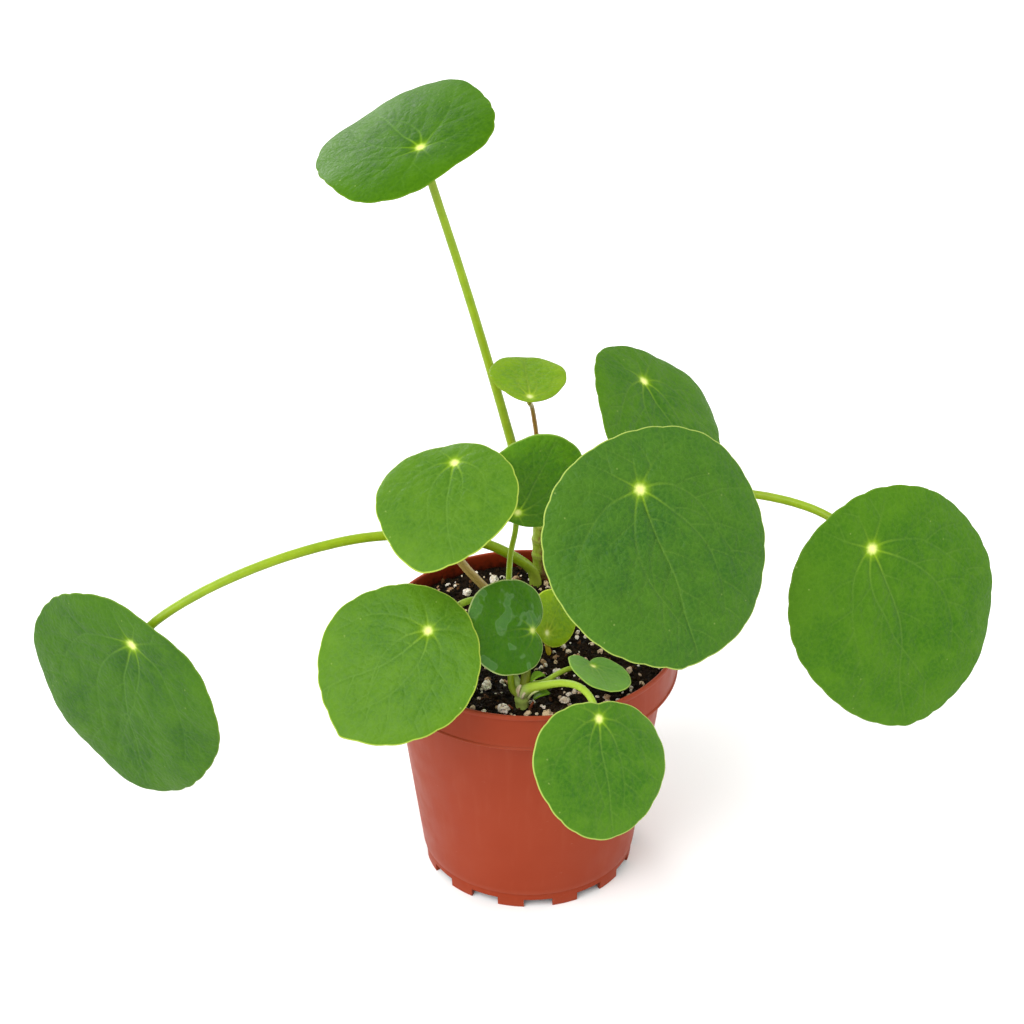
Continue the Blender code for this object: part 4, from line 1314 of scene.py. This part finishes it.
@dataclass
class NurseryPot:
    """The pot: a turned wall with bead, band and mould line, cut by foot notches and drainage holes."""

    height: float = 93.3
    rim_radius: float = 52.5
    band: float = 14.0
    top_radius: float = 47.7
    base_radius: float = 37.4
    wall: float = 1.2
    pad_radius: float = 21.0
    floor_top: float = 5.2
    floor_underside: float = 3.8
    notches: int = 12
    notch_width: float = 10.2
    notch_height: float = 3.4
    notch_turn: float = 5.0
    drains: int = 6
    segments: int = 240

    def profile(self) -> list[tuple[float, float]]:
        """The wall's outline from the middle of the underside, up the outside and down the inside."""
        ledge = self.height - self.band
        rim, base, top = self.rim_radius, self.base_radius, self.top_radius
        outline = [(0.0, 0.0), (self.pad_radius - 0.3, 0.0), (self.pad_radius, 0.2),
                   (self.pad_radius + 0.9, self.floor_underside - 0.3), (self.pad_radius + 1.3, self.floor_underside),
                   (base - 2.3, self.floor_underside), (base - 1.9, self.floor_underside - 0.4),
                   (base - 1.6, 0.25), (base - 1.4, 0.0), (base - 0.3, 0.0), (base - 0.05, 0.25)]
        outline += [(base + 0.14, 3.6), (base + 0.12, 5.7), (base + 0.06, 5.95), (base + 0.76, 6.2),
                    (base + 0.84, 6.45)]
        slope = (top - base - 0.6) / (ledge - 4.3)
        outline += [(base + 0.6 + slope * (z - 4.3), z) for z in np.linspace(8.5, ledge - 1.0, 22)]
        outline += [(top + 0.05, ledge - 0.25), (top + 0.35, ledge), (rim - 0.95, ledge), (rim - 0.6, ledge + 0.06),
                    (rim - 0.42, ledge + 0.26), (rim - 0.4, ledge + 0.55), (rim - 0.55, ledge + 0.8),
                    (rim - 0.86, ledge + 1.0)]
        outline += [(rim - 0.86 + 0.1 * t, ledge + 1.0 + t * (self.band - 3.2)) for t in np.linspace(0.12, 1.0, 8)]
        outline += [(rim - 0.78, self.height - 1.95), (rim - 0.5, self.height - 1.72),
                    (rim - 0.12, self.height - 1.55), (rim, self.height - 1.2), (rim - 0.04, self.height - 0.6),
                    (rim - 0.22, self.height - 0.18),
                    (rim - 0.55, self.height), (rim - 1.0, self.height - 0.04), (rim - 1.35, self.height - 0.3),
                    (rim - 1.5, self.height - 0.8)]
        outline += [(rim - 1.6, z) for z in np.linspace(self.height - 2.0, ledge + 2.2, 6)]
        outline += [(rim - 1.8, ledge + 1.7), (rim - 2.4, ledge + 1.5), (top - self.wall + 0.5, ledge + 1.4),
                    (top - self.wall, ledge + 0.8)]
        inner = base - self.wall + 0.7
        outline += [(top - self.wall + (inner - top + self.wall) * t, ledge + 0.6 + (self.floor_top - ledge) * t)
                    for t in np.linspace(0.05, 0.97, 12)]
        outline += [(inner - 0.3, self.floor_top + 0.1), (inner - 1.2, self.floor_top),
                    (self.pad_radius - 0.3, self.floor_top), (self.pad_radius - 0.7, self.floor_top - 0.3),
                    (self.pad_radius - 1.3, 1.9), (self.pad_radius - 1.7, 1.6), (0.0, 1.6)]
        return outline

    def turned(self) -> bpy.types.Mesh:
        """Turn the profile about the pot's axis."""
        shell = bmesh.new()
        corners = [shell.verts.new((r * MM, 0.0, z * MM)) for r, z in self.profile()]
        edges = [shell.edges.new(pair) for pair in zip(corners[:-1], corners[1:])]
        bmesh.ops.spin(shell, geom=corners + edges, cent=(0, 0, 0), axis=(0, 0, 1), angle=math.tau,
                       steps=self.segments, use_merge=True, use_duplicate=False)
        bmesh.ops.remove_doubles(shell, verts=shell.verts, dist=1e-6)
        bmesh.ops.recalc_face_normals(shell, faces=shell.faces)
        return mesh_from(shell, "pot")

    def cutter(self, name: str, shapes: list[Matrix], round_bar: bool) -> bpy.types.Object:
        """Make the cutters of all notches or of all drainage holes.

        Args:
            name: the cutter's name.
            shapes: where each one goes, and its size.
            round_bar: whether each is a round bar instead of a box.

        Returns:
            The cutter object.
        """
        shell = bmesh.new()
        for place in shapes:
            if round_bar:
                bmesh.ops.create_cone(shell, cap_ends=True, segments=32, radius1=1.0, radius2=1.0, depth=1.0,
                                      matrix=place)
            else:
                bmesh.ops.create_cube(shell, size=1.0, matrix=place)
        return link_mesh(name, mesh_from(shell, name))

    def build(self, material: bpy.types.Material) -> bpy.types.Object:
        """Make, cut and hand over the pot.

        Args:
            material: the pot's plastic.

        Returns:
            The finished pot.
        """
        helper = link_mesh("pot_turned", self.turned())
        boxes, bars = [], []
        for index in range(self.notches):
            turn = math.radians(-90.0 + self.notch_turn + index * 360.0 / self.notches)
            boxes.append(Matrix.Rotation(turn, 4, "Z") @ Matrix.Translation((self.base_radius * MM, 0, 0))
                         @ Matrix.Diagonal((7.0 * MM, self.notch_width * MM, 2.0 * self.notch_height * MM, 1.0)))
        for index in range(self.drains):
            turn = math.radians(20.0 + index * 360.0 / self.drains)
            spot = Vector((29.0 * math.cos(turn), 29.0 * math.sin(turn), self.floor_underside)) * MM
            bars.append(Matrix.Translation(spot) @ Matrix.Diagonal((3.0 * MM, 3.0 * MM, 6.0 * MM, 1.0)))
        cutters = [self.cutter("foot_notches", boxes, False), self.cutter("drain_holes", bars, True)]
        for item in cutters:
            cut = helper.modifiers.new(item.name, "BOOLEAN")
            cut.operation = "DIFFERENCE"
            cut.solver = "EXACT"
            cut.object = item
        mesh = evaluated_mesh(helper, "pot")
        for item in [helper] + cutters:
            discard(item)
        self.mark(mesh)
        piece = link_mesh("pot_looks", mesh, material)
        mesh.set_sharp_from_angle(angle=math.radians(38.0))
        return hand_over(piece, "terracotta_plastic", "pot")

    def mark(self, mesh: bpy.types.Mesh) -> None:
        """Store which points lie on the inner wall, which is painted in shade, and which on the rim, the band's lip,
        the mould line and the base, where rubbing and painted highlight lighten the colour.
        """
        count = len(mesh.vertices)
        places = np.empty(count * 3)
        mesh.vertices.foreach_get("co", places)
        places = places.reshape(-1, 3) / MM
        radius = np.hypot(places[:, 0], places[:, 1])
        z = places[:, 2]
        ledge = self.height - self.band
        outer = np.where(z > ledge - 0.1, self.rim_radius - 1.3,
                         self.base_radius + (self.top_radius - self.base_radius) * z / ledge - 0.8)
        # the inner wall, whose darker colour is painted shade
        inner = ((radius < outer) & (z > 1.0) & (z < self.height - 0.25)).astype(np.float32)
        # rim, band lip, mould line and base: lighter from rubbing and painted highlight
        edge = np.exp(-((z - self.height) / 1.2) ** 2) + np.exp(-((z - ledge - 0.7) / 0.7) ** 2)
        edge = (edge + 0.8 * np.exp(-((z - 6.4) / 0.4) ** 2) + 0.8 * np.exp(-(z / 0.8) ** 2)) * (1.0 - inner)
        store(mesh, "inner", inner)
        store(mesh, "edge", np.clip(edge, 0.0, 1.0))


@dataclass
class PottingMix:
    """The soil: a crumbly surface that fills the pot, strewn with crumbs, bark and small perlite."""

    top: float = 87.0
    radius: float = 50.7
    shoulder_radius: float = 46.0
    shoulder: float = 80.9
    foot_radius: float = 36.4
    bottom: float = 5.5
    count: int = 221

    def height_at(self, x: float, y: float) -> float:
        """Height of the soil's surface in millimetres, without its crumbs."""
        radius = math.hypot(x, y)
        swell = 0.9 * math.sin(x / 17.0 + 0.6) * math.cos(y / 14.0 - 0.4) - 0.012 * x
        mound = math.exp(-((x - 2.0) ** 2 + (y - 40.0) ** 2) / 160.0)
        return self.top + (swell + mound) * min(1.0, max(0.0, (self.radius - radius) / 5.0) + 0.5)

    def crumbs(self, x: float, y: float) -> float:
        """How far the crumbly surface stands above the smooth one, in millimetres."""
        coarse = noise.fractal(Vector((x / 4.2, y / 4.2, 3.1)), 0.9, 2.1, 3)
        cells = noise.voronoi(Vector((x / 2.6, y / 2.6, 0.7)))[0][0]
        fine = noise.noise(Vector((x / 0.9, y / 0.9, 5.5)))
        return 0.75 * coarse + 0.9 * (0.45 - cells) + 0.16 * fine

    def surface(self) -> tuple[np.ndarray, np.ndarray, np.ndarray]:
        """The top surface as an even grid over the disc: its points, its faces and its outer ring."""
        radius, angle, faces, ring = disc_grid(self.count)
        x, y = radius * self.radius * np.cos(angle), radius * self.radius * np.sin(angle)
        z = np.array([self.height_at(p, q) + self.crumbs(p, q) for p, q in zip(x.tolist(), y.tolist())])
        return np.stack([x, y, z], axis=1), faces, ring

    def build(self, scatter: GrainScatter, peat: bpy.types.Material, bark: bpy.types.Material,
              perlite: bpy.types.Material) -> list[bpy.types.Object]:
        """Make and hand over the soil and everything strewn on it.

        Args:
            scatter: the shared scatter tree.
            peat: the material of the soil and its crumbs.
            bark: the material of the bark chips.
            perlite: the material of the small perlite.

        Returns:
            The finished pieces.
        """
        points, faces, ring = self.surface()
        total = len(points)
        outline = points[ring]
        around = outline[:, :2] / np.linalg.norm(outline[:, :2], axis=1, keepdims=True)
        levels = ((self.radius - 0.1, self.shoulder), (self.shoulder_radius, self.shoulder - 0.6),
                  (self.foot_radius, self.bottom))
        skirt = [np.column_stack([around * radius, np.full(len(ring), z)]) for radius, z in levels]
        everything = np.concatenate([points] + skirt + [np.array([[0.0, 0.0, self.bottom]])])
        walls = faces.tolist()
        before = ring
        for level in range(len(levels)):
            here = total + level * len(ring) + np.arange(len(ring))
            walls += np.stack([before, np.roll(before, -1), np.roll(here, -1), here], axis=1).tolist()
            before = here
        last = before.tolist()
        walls += [[last[k], last[(k + 1) % len(last)], len(everything) - 1] for k in range(len(last))]
        mesh = mesh_of("potting_soil", everything, walls)
        turn_outwards(mesh)
        made = [hand_over(link_mesh("potting_soil_looks", mesh, peat), "potting_soil", "potting_soil")]
        inside = np.linalg.norm(points[faces].mean(axis=1)[:, :2], axis=1) < self.radius - 1.6
        kinds = (("soil_crumbs", 330000.0, 0.35, 1.3, 0.8, 0.9, 1, 7, peat, "potting_soil"),
                 ("bark_chips", 26000.0, 0.6, 2.1, 0.35, 0.8, 2, 19, bark, "potting_soil"),
                 ("perlite_grains", 40000.0, 0.35, 1.0, 0.8, 0.6, 2, 27, perlite, "perlite"),
                 ("perlite_lumps", 17000.0, 0.7, 1.7, 0.7, 1.3, 3, 33, perlite, "perlite"))
        for name, density, small, large, slim, rough, detail, seed, material, slot in kinds:
            ground = link_mesh(name + "_ground", mesh_of(name, points, faces[inside]))
            sizes = {"Per square metre": density, "Smallest": small * MM, "Largest": large * MM, "Slimness": slim,
                     "Roughness": rough * MM, "Detail": detail, "Seed": seed, "Material": material}
            made.append(hand_over(scatter.run(ground, name, sizes), slot))
        return made


@dataclass
class PerliteStones:
    """The larger stones on the soil: pitted lumps, each in its CAD stone's place and size."""

    names: tuple[str, ...]

    def build(self, material: bpy.types.Material) -> None:
        """Make and hand over every stone."""
        for order, name in enumerate(self.names):
            low, high = box_mm(name)
            centre, half = (low + high) / 2.0, (high - low) / 2.0
            shell = bmesh.new()
            bmesh.ops.create_icosphere(shell, subdivisions=5, radius=1.0)
            for vertex in shell.verts:
                place = vertex.co * 1.4 + Vector((order * 7.3, 0.0, 0.0))
                facets = noise.voronoi(place * 0.9)[0][0]
                rough = noise.fractal(place * 1.3, 0.8, 2.0, 4)
                pits = max(0.0, 0.34 - noise.voronoi(place * 2.6)[0][0])
                radius = 0.84 + 0.5 * (facets - 0.45) + 0.2 * rough - 0.8 * pits
                vertex.co = Vector([vertex.co[axis] * radius * half[axis] + centre[axis] for axis in range(3)]) * MM
            mesh = mesh_from(shell, name)
            store(mesh, "tint", np.full(len(mesh.vertices), (order * 0.37) % 1.0))
            hand_over(link_mesh(name + "_looks", mesh, material), "perlite", name)


# --------------------------------------------------------------------------------------------------------
# Studio
# --------------------------------------------------------------------------------------------------------


@dataclass
class Studio:
    """A white paper floor, soft light from the upper left, and the camera in front and above."""

    target: tuple[float, float, float] = (-6.0, 0.0, 141.0)
    distance: float = 900.0
    pitch: float = 31.3
    lens: float = 93.5
    sky: float = 1.0
    lamps: tuple[tuple[str, float, float, tuple[float, float, float]], ...] = (
        ("key_softbox", 2.6, 50.0, (-0.55, -0.6, 0.9)), ("back_softbox", 1.3, 26.0, (-0.5, 0.85, 0.26)),
        ("right_softbox", 0.65, 40.0, (0.85, 0.2, 0.35)))

    def build(self) -> None:
        """Make the floor, the light and the camera."""
        scene = bpy.context.scene
        shell = bmesh.new()
        bmesh.ops.create_grid(shell, x_segments=4, y_segments=4, size=6.0)
        link_mesh("floor", mesh_from(shell, "floor"), SeamlessPaper().build())
        world = bpy.data.worlds.new("studio")
        world.use_nodes = True
        background = world.node_tree.nodes["Background"]
        background.inputs["Color"].default_value = (1.0, 1.0, 1.0, 1.0)
        background.inputs["Strength"].default_value = self.sky
        scene.world = world
        for name, strength, spread, direction in self.lamps:
            sun = bpy.data.lights.new(name, "SUN")
            sun.energy = strength
            sun.angle = math.radians(spread)
            lamp = bpy.data.objects.new(name, sun)
            lamp.rotation_mode = "QUATERNION"
            lamp.rotation_quaternion = Vector(direction).normalized().to_track_quat("Z", "Y")
            scene.collection.objects.link(lamp)
        data = bpy.data.cameras.new("camera")
        data.lens = self.lens
        data.sensor_width = 36.0
        data.clip_end = 20.0
        camera = bpy.data.objects.new("camera", data)
        tilt = math.radians(self.pitch)
        back = Vector((0.0, -math.cos(tilt), math.sin(tilt)))
        camera.location = (Vector(self.target) + back * self.distance) * MM
        camera.rotation_euler = (math.radians(90.0) - tilt, 0.0, 0.0)
        scene.collection.objects.link(camera)
        scene.camera = camera
        scene.view_settings.view_transform = "Standard"


# --------------------------------------------------------------------------------------------------------
# The plant
# --------------------------------------------------------------------------------------------------------


LEAVES = (
    LeafBlade("tall_leaf", (-56, 67, -93), 63.5, 0.18, 0.03, (6.3, 3.5), (-0.01, 0.01, 0.0, 0.01, -0.04, 0.02),
              Tone.SUNNY, 11, sway=0.35),
    LeafBlade("crown_leaf", (31, 79, -208), 26.5, 0.40, 0.05, (4.6, 3.3), (0.0, 0.0, -0.03, 0.0, 0.01, 0.0),
              Tone.FRESH, 12, cup=0.6),
    LeafBlade("back_right_leaf", (64, 54, -31), 57.5, 0.23, 0.02, (7.4, 3.0),
              (0.0, -0.02, -0.02, -0.03, -0.01, 0.03), Tone.PLAIN, 13, sway=0.5),
    LeafBlade("big_front_leaf", (21, 38, 9), 79.5, 0.24, -0.01, (3.9, 4.1), (-0.01, 0.0, 0.02, 0.01, -0.01, 0.0),
              Tone.BLUISH, 14, corner=(350.0, 1.3)),
    LeafBlade("upright_leaf", (9, -3, 152), 36.0, 0.36, -0.02, (4.4, 3.8), (0.0, 0.0, 0.02, 0.0, 0.0, 0.0),
              Tone.SHADED, 15),
    LeafBlade("mid_left_leaf", (-36, 68, 23), 49.0, 0.32, -0.03, (5.3, 3.0), (0.01, 0.0, 0.03, 0.0, 0.02, -0.01),
              Tone.BRIGHT, 16, corner=(354.0, 0.8)),
    LeafBlade("low_left_leaf", (-11, 52, -36), 56.0, 0.26, -0.02, (4.1, 4.2), (0.0, 0.0, 0.0, 0.01, 0.01, 0.01),
              Tone.BRIGHT, 17, corner=(6.0, 1.9)),
    LeafBlade("centre_leaf", (46, 28, -119), 33.5, 0.30, -0.01, (4.4, 3.8), (0.0, 0.0, 0.01, 0.0, -0.01, -0.02),
              Tone.MARKED, 18, notch=(5.0, 0.27)),
    LeafBlade("yellow_leaf", (48, 31, 121), 20.5, 0.31, 0.01, (3.9, 4.0), (0.0, 0.0, 0.0, -0.01, 0.0, 0.01),
              Tone.YELLOW_GLOW, 19),
    LeafBlade("young_leaf", (108, 71, -87), 22.5, 0.21, 0.02, (3.6, 1.6), (-0.01, 0.02, 0.0, -0.01, -0.01, 0.0),
              Tone.YOUNG_SHEEN, 20, notch=(3.2, 0.24), cup=1.3),
    LeafBlade("pot_front_leaf", (33, 36, -16), 47.5, 0.33, 0.01, (4.1, 3.9), (-0.05, 0.0, 0.04, 0.0, 0.0, 0.0),
              Tone.MATURE, 21, notch=(1.0, 0.16)),
    LeafBlade("far_left_leaf", (-33, -3, -17), 84.0, 0.31, -0.03, (1.2, 1.9), (-0.01, 0.0, 0.01, 0.02, 0.0, 0.01),
              Tone.COOL, 22, sway=0.3),
    LeafBlade("far_right_leaf", (25, 28, 17), 83.5, 0.27, -0.04, (3.7, 3.7), (-0.01, 0.0, 0.01, -0.01, 0.0, -0.01),
              Tone.PLAIN, 23, corner=(338.0, 0.6), sway=0.6),
)

STALKS = (
    LeafStalk("tall_leaf", [(3.2, 42.0, 115.0), (0.2, 41.2, 118.0)],
              [(-6.9, 39.5, 148.5), (-16.8, 38.5, 188.3), (-24.4, 36.0, 217.9), (-32.1, 32.5, 246.8)],
              (1.75, 1.4), StalkColour.GREEN),
    LeafStalk("crown_leaf", [(3.9, 41.6, 127.5), (3.9, 40.2, 131.0)],
              [(3.4, 33.0, 144.2), (2.4, 27.0, 156.0), (0.7, 18.5, 171.5)], (0.9, 0.8), StalkColour.BROWN),
    LeafStalk("back_right_leaf", [(4.2, 42.2, 118.5), (6.6, 43.2, 120.6)],
              [(13.0, 44.5, 123.0), (20.0, 45.0, 127.0), (27.5, 46.2, 133.5), (34.0, 47.8, 142.0),
               (38.5, 49.0, 152.0)], (1.4, 1.3), StalkColour.GREEN),
    LeafStalk("big_front_leaf", [(4.4, 41.6, 110.5), (6.0, 38.6, 112.0)],
              [(12.0, 30.0, 121.0), (20.5, 12.0, 138.0), (27.5, -10.0, 153.0)], (1.7, 1.5), StalkColour.GREEN),
    LeafStalk("upright_leaf", [(-3.4, -36.3, 91.0), (-5.7, -36.0, 93.0)],
              [(-6.4, -35.0, 97.1), (-7.0, -31.0, 109.7), (-7.2, -25.5, 122.1), (-6.5, -14.0, 132.7),
               (-4.8, -8.0, 139.0)], (1.05, 0.95), StalkColour.GREEN),
    LeafStalk("mid_left_leaf", [(0.4, 12.0, 84.5), (-1.8, 11.2, 88.5)],
              [(-7.2, 7.6, 96.0), (-16.1, 0.0, 111.5), (-23.0, -6.5, 124.7), (-26.4, -11.5, 135.0),
               (-26.6, -16.0, 153.0)],
              (1.55, 1.35), StalkColour.TAN),
    LeafStalk("low_left_leaf", [(-3.0, -35.6, 93.4), (-5.4, -32.8, 96.5)],
              [(-9.5, -27.0, 108.5), (-15.5, -28.5, 123.3), (-22.0, -33.5, 126.3), (-29.2, -39.5, 123.3)],
              (1.15, 1.1), StalkColour.PALE),
    LeafStalk("centre_leaf", [(-2.2, -36.2, 92.0), (-1.5, -35.2, 96.5)], [(-1.2, -32.5, 101.0), (-1.2, -28.5, 108.5)],
              (1.75, 1.0), StalkColour.OLIVE, foot=0.1),
    LeafStalk("yellow_leaf", [(6.8, -6.6, 85.6), (6.6, -6.2, 88.4)], [(5.8, -4.2, 91.2)], (0.8, 0.7),
              StalkColour.MUSTARD),
    LeafStalk("young_leaf", [(-1.8, -35.5, 93.2), (1.0, -34.4, 94.0)],
              [(4.6, -33.5, 94.3), (10.4, -29.5, 95.6), (16.0, -26.3, 95.4)], (0.95, 0.85), StalkColour.PALE),
    LeafStalk("pot_front_leaf", [(-3.0, -36.6, 92.2), (-0.6, -37.4, 94.4)],
              [(3.6, -38.9, 96.5), (11.0, -43.9, 101.2), (16.2, -49.4, 103.5), (19.4, -54.4, 103.4),
               (21.1, -58.2, 101.4)], (1.3, 1.1), StalkColour.PALE, foot=0.9),
    LeafStalk("far_left_leaf", [(2.6, 38.6, 86.0), (2.2, 38.2, 90.0)],
              [(1.2, 37.2, 93.8), (-2.2, 35.2, 98.6), (-13.8, 31.5, 108.1), (-27.8, 26.0, 114.9),
               (-55.2, 14.0, 122.3), (-82.2, 3.0, 121.7), (-109.1, -6.5, 114.6), (-127.5, -11.5, 104.6)],
              (1.85, 1.6), StalkColour.GREEN),
    LeafStalk("far_right_leaf", [(4.8, 42.6, 100.8), (8.4, 42.2, 102.2)],
              [(22.0, 39.0, 112.0), (45.0, 35.0, 124.5), (68.0, 28.0, 132.0), (88.0, 18.5, 134.6),
               (103.0, 9.0, 133.4)], (1.6, 1.45), StalkColour.GREEN),
)


def build_leaves(sweep: StalkSweep) -> None:
    """Build every blade and its stalk.

    Args:
        sweep: the shared sweep tree.
    """
    skins = {tone: tone.value.build() for tone in Tone}
    stalk_skins = {colour: colour.value.build() for colour in StalkColour}
    for blade, stalk in zip(LEAVES, STALKS):
        blade.build(skins)
        stalk.build(blade, sweep, stalk_skins)


def build_growth() -> None:
    """Build the two stems, the buds, the low leaflet and the scales at the stems' feet."""
    old = WoodyStem("old_stem_skin").build()
    young = StalkSkin("young_stem_skin", body="#94a852", root="#b0b584", tip="#8fa63c", shade="#879c48",
                      flush="#bb9378").build()
    Stem("main_stem", "stem_bark", [(4.7, 43.7, 85.0), (4.4, 43.0, 98.0), (4.2, 42.5, 110.0), (4.0, 42.0, 121.0),
                                    (3.8, 41.5, 129.0)], (3.1, 2.5), (90.5, 97.0, 103.5, 112.0, 120.0), 31
         ).build(old)
    Stem("pup_stem", "pup_stem", [(-2.6, -36.4, 85.5), (-2.7, -36.3, 91.0), (-2.6, -36.1, 94.6)], (2.35, 2.0),
         (89.6,), 32).build(young)
    leaflet = StalkSkin("leaflet_green", body="#45740a", root="#6d9420", tip="#3f6c08", shade="#365f08",
                        flush="#5a8a12", roughness=0.55, gloss=0.12).build()
    bud = StalkSkin("bud_pale_green", body="#8fae4a", root="#b5c27c", tip="#7d9c38", shade="#7a9a3c",
                    flush="#a5b060").build()
    pink = StalkSkin("stipule_pink", body="#d39484", root="#c9bf9c", tip="#cc8272", shade="#bb7868",
                     flush="#dfb4a6", roughness=0.6).build()
    cream = StalkSkin("stipule_cream", body="#cdd2a2", root="#b4bb7c", tip="#dcdcc0", shade="#b6be82",
                      flush="#d4c6a4", roughness=0.55).build()
    for name, foot, tip, width, fold, plump, in_cad, skin in (
            ("low_leaflet", (1.2, -36.7, 89.4), (6.9, -36.2, 91.6), 4.6, 0.35, 0.6, True, leaflet),
            ("pup_bud", (0.2, -35.6, 96.0), (5.2, -33.6, 97.2), 3.4, 0.7, 0.6, True, leaflet),
            ("stem_foot_bud", (8.6, 38.2, 87.2), (10.0, 37.0, 90.4), 2.4, 0.2, 1.4, True, bud),
            ("pink_stipule", (-3.6, -38.4, 91.6), (-3.1, -38.3, 96.6), 2.1, 0.25, 0.7, False, pink),
            ("short_stipule", (-2.4, -38.7, 91.0), (-1.2, -38.6, 94.4), 2.0, 0.25, 0.7, False, pink),
            ("cream_stipule", (-0.6, -38.2, 90.6), (3.3, -39.6, 95.6), 2.2, 0.25, 0.7, False, cream)):
        FoldedLeaflet(name, foot, tip, width, fold, plump, in_cad).build(skin, "bud_green" if in_cad else "pup_stem")
    papery = StalkSkin("stipule_paper", body="#a8683c", root="#7a3a1e", tip="#b98a5a", shade="#83421f",
                       flush="#a85a34", roughness=0.7).build()
    StipuleScales(((-5.8, -38.0, 86.6, -60.0, 2.0), (-4.3, -38.9, 86.2, -15.0, 1.4), (0.3, -37.6, 87.0, 70.0, 2.3),
                   (2.4, 40.2, 87.0, -30.0, 2.2), (6.6, 40.6, 86.9, 40.0, 2.4), (7.2, -5.0, 86.8, 10.0, 1.6))
                  ).build(papery)


def main() -> None:
    """Build the whole plant, then the studio."""
    logging.basicConfig(level=logging.INFO, format="%(message)s")
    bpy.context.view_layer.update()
    sweep, scatter = StalkSweep(), GrainScatter()
    NurseryPot().build(TerracottaPolypropylene().build())
    peat = DampPeat("damp_peat").build()
    bark = DampPeat("bark_chip", dark="#3a2416", brown="#5a3a22", fibre="#8a5a34", fibre_share=0.7).build()
    perlite = ExpandedPerlite("expanded_perlite").build()
    PottingMix().build(scatter, peat, bark, perlite)
    stones = tuple(sorted(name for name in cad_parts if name.startswith("perlite_stone")))
    PerliteStones(stones).build(perlite)
    build_leaves(sweep)
    build_growth()
    Studio().build()
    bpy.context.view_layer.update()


if __name__ == "__main__":
    main()
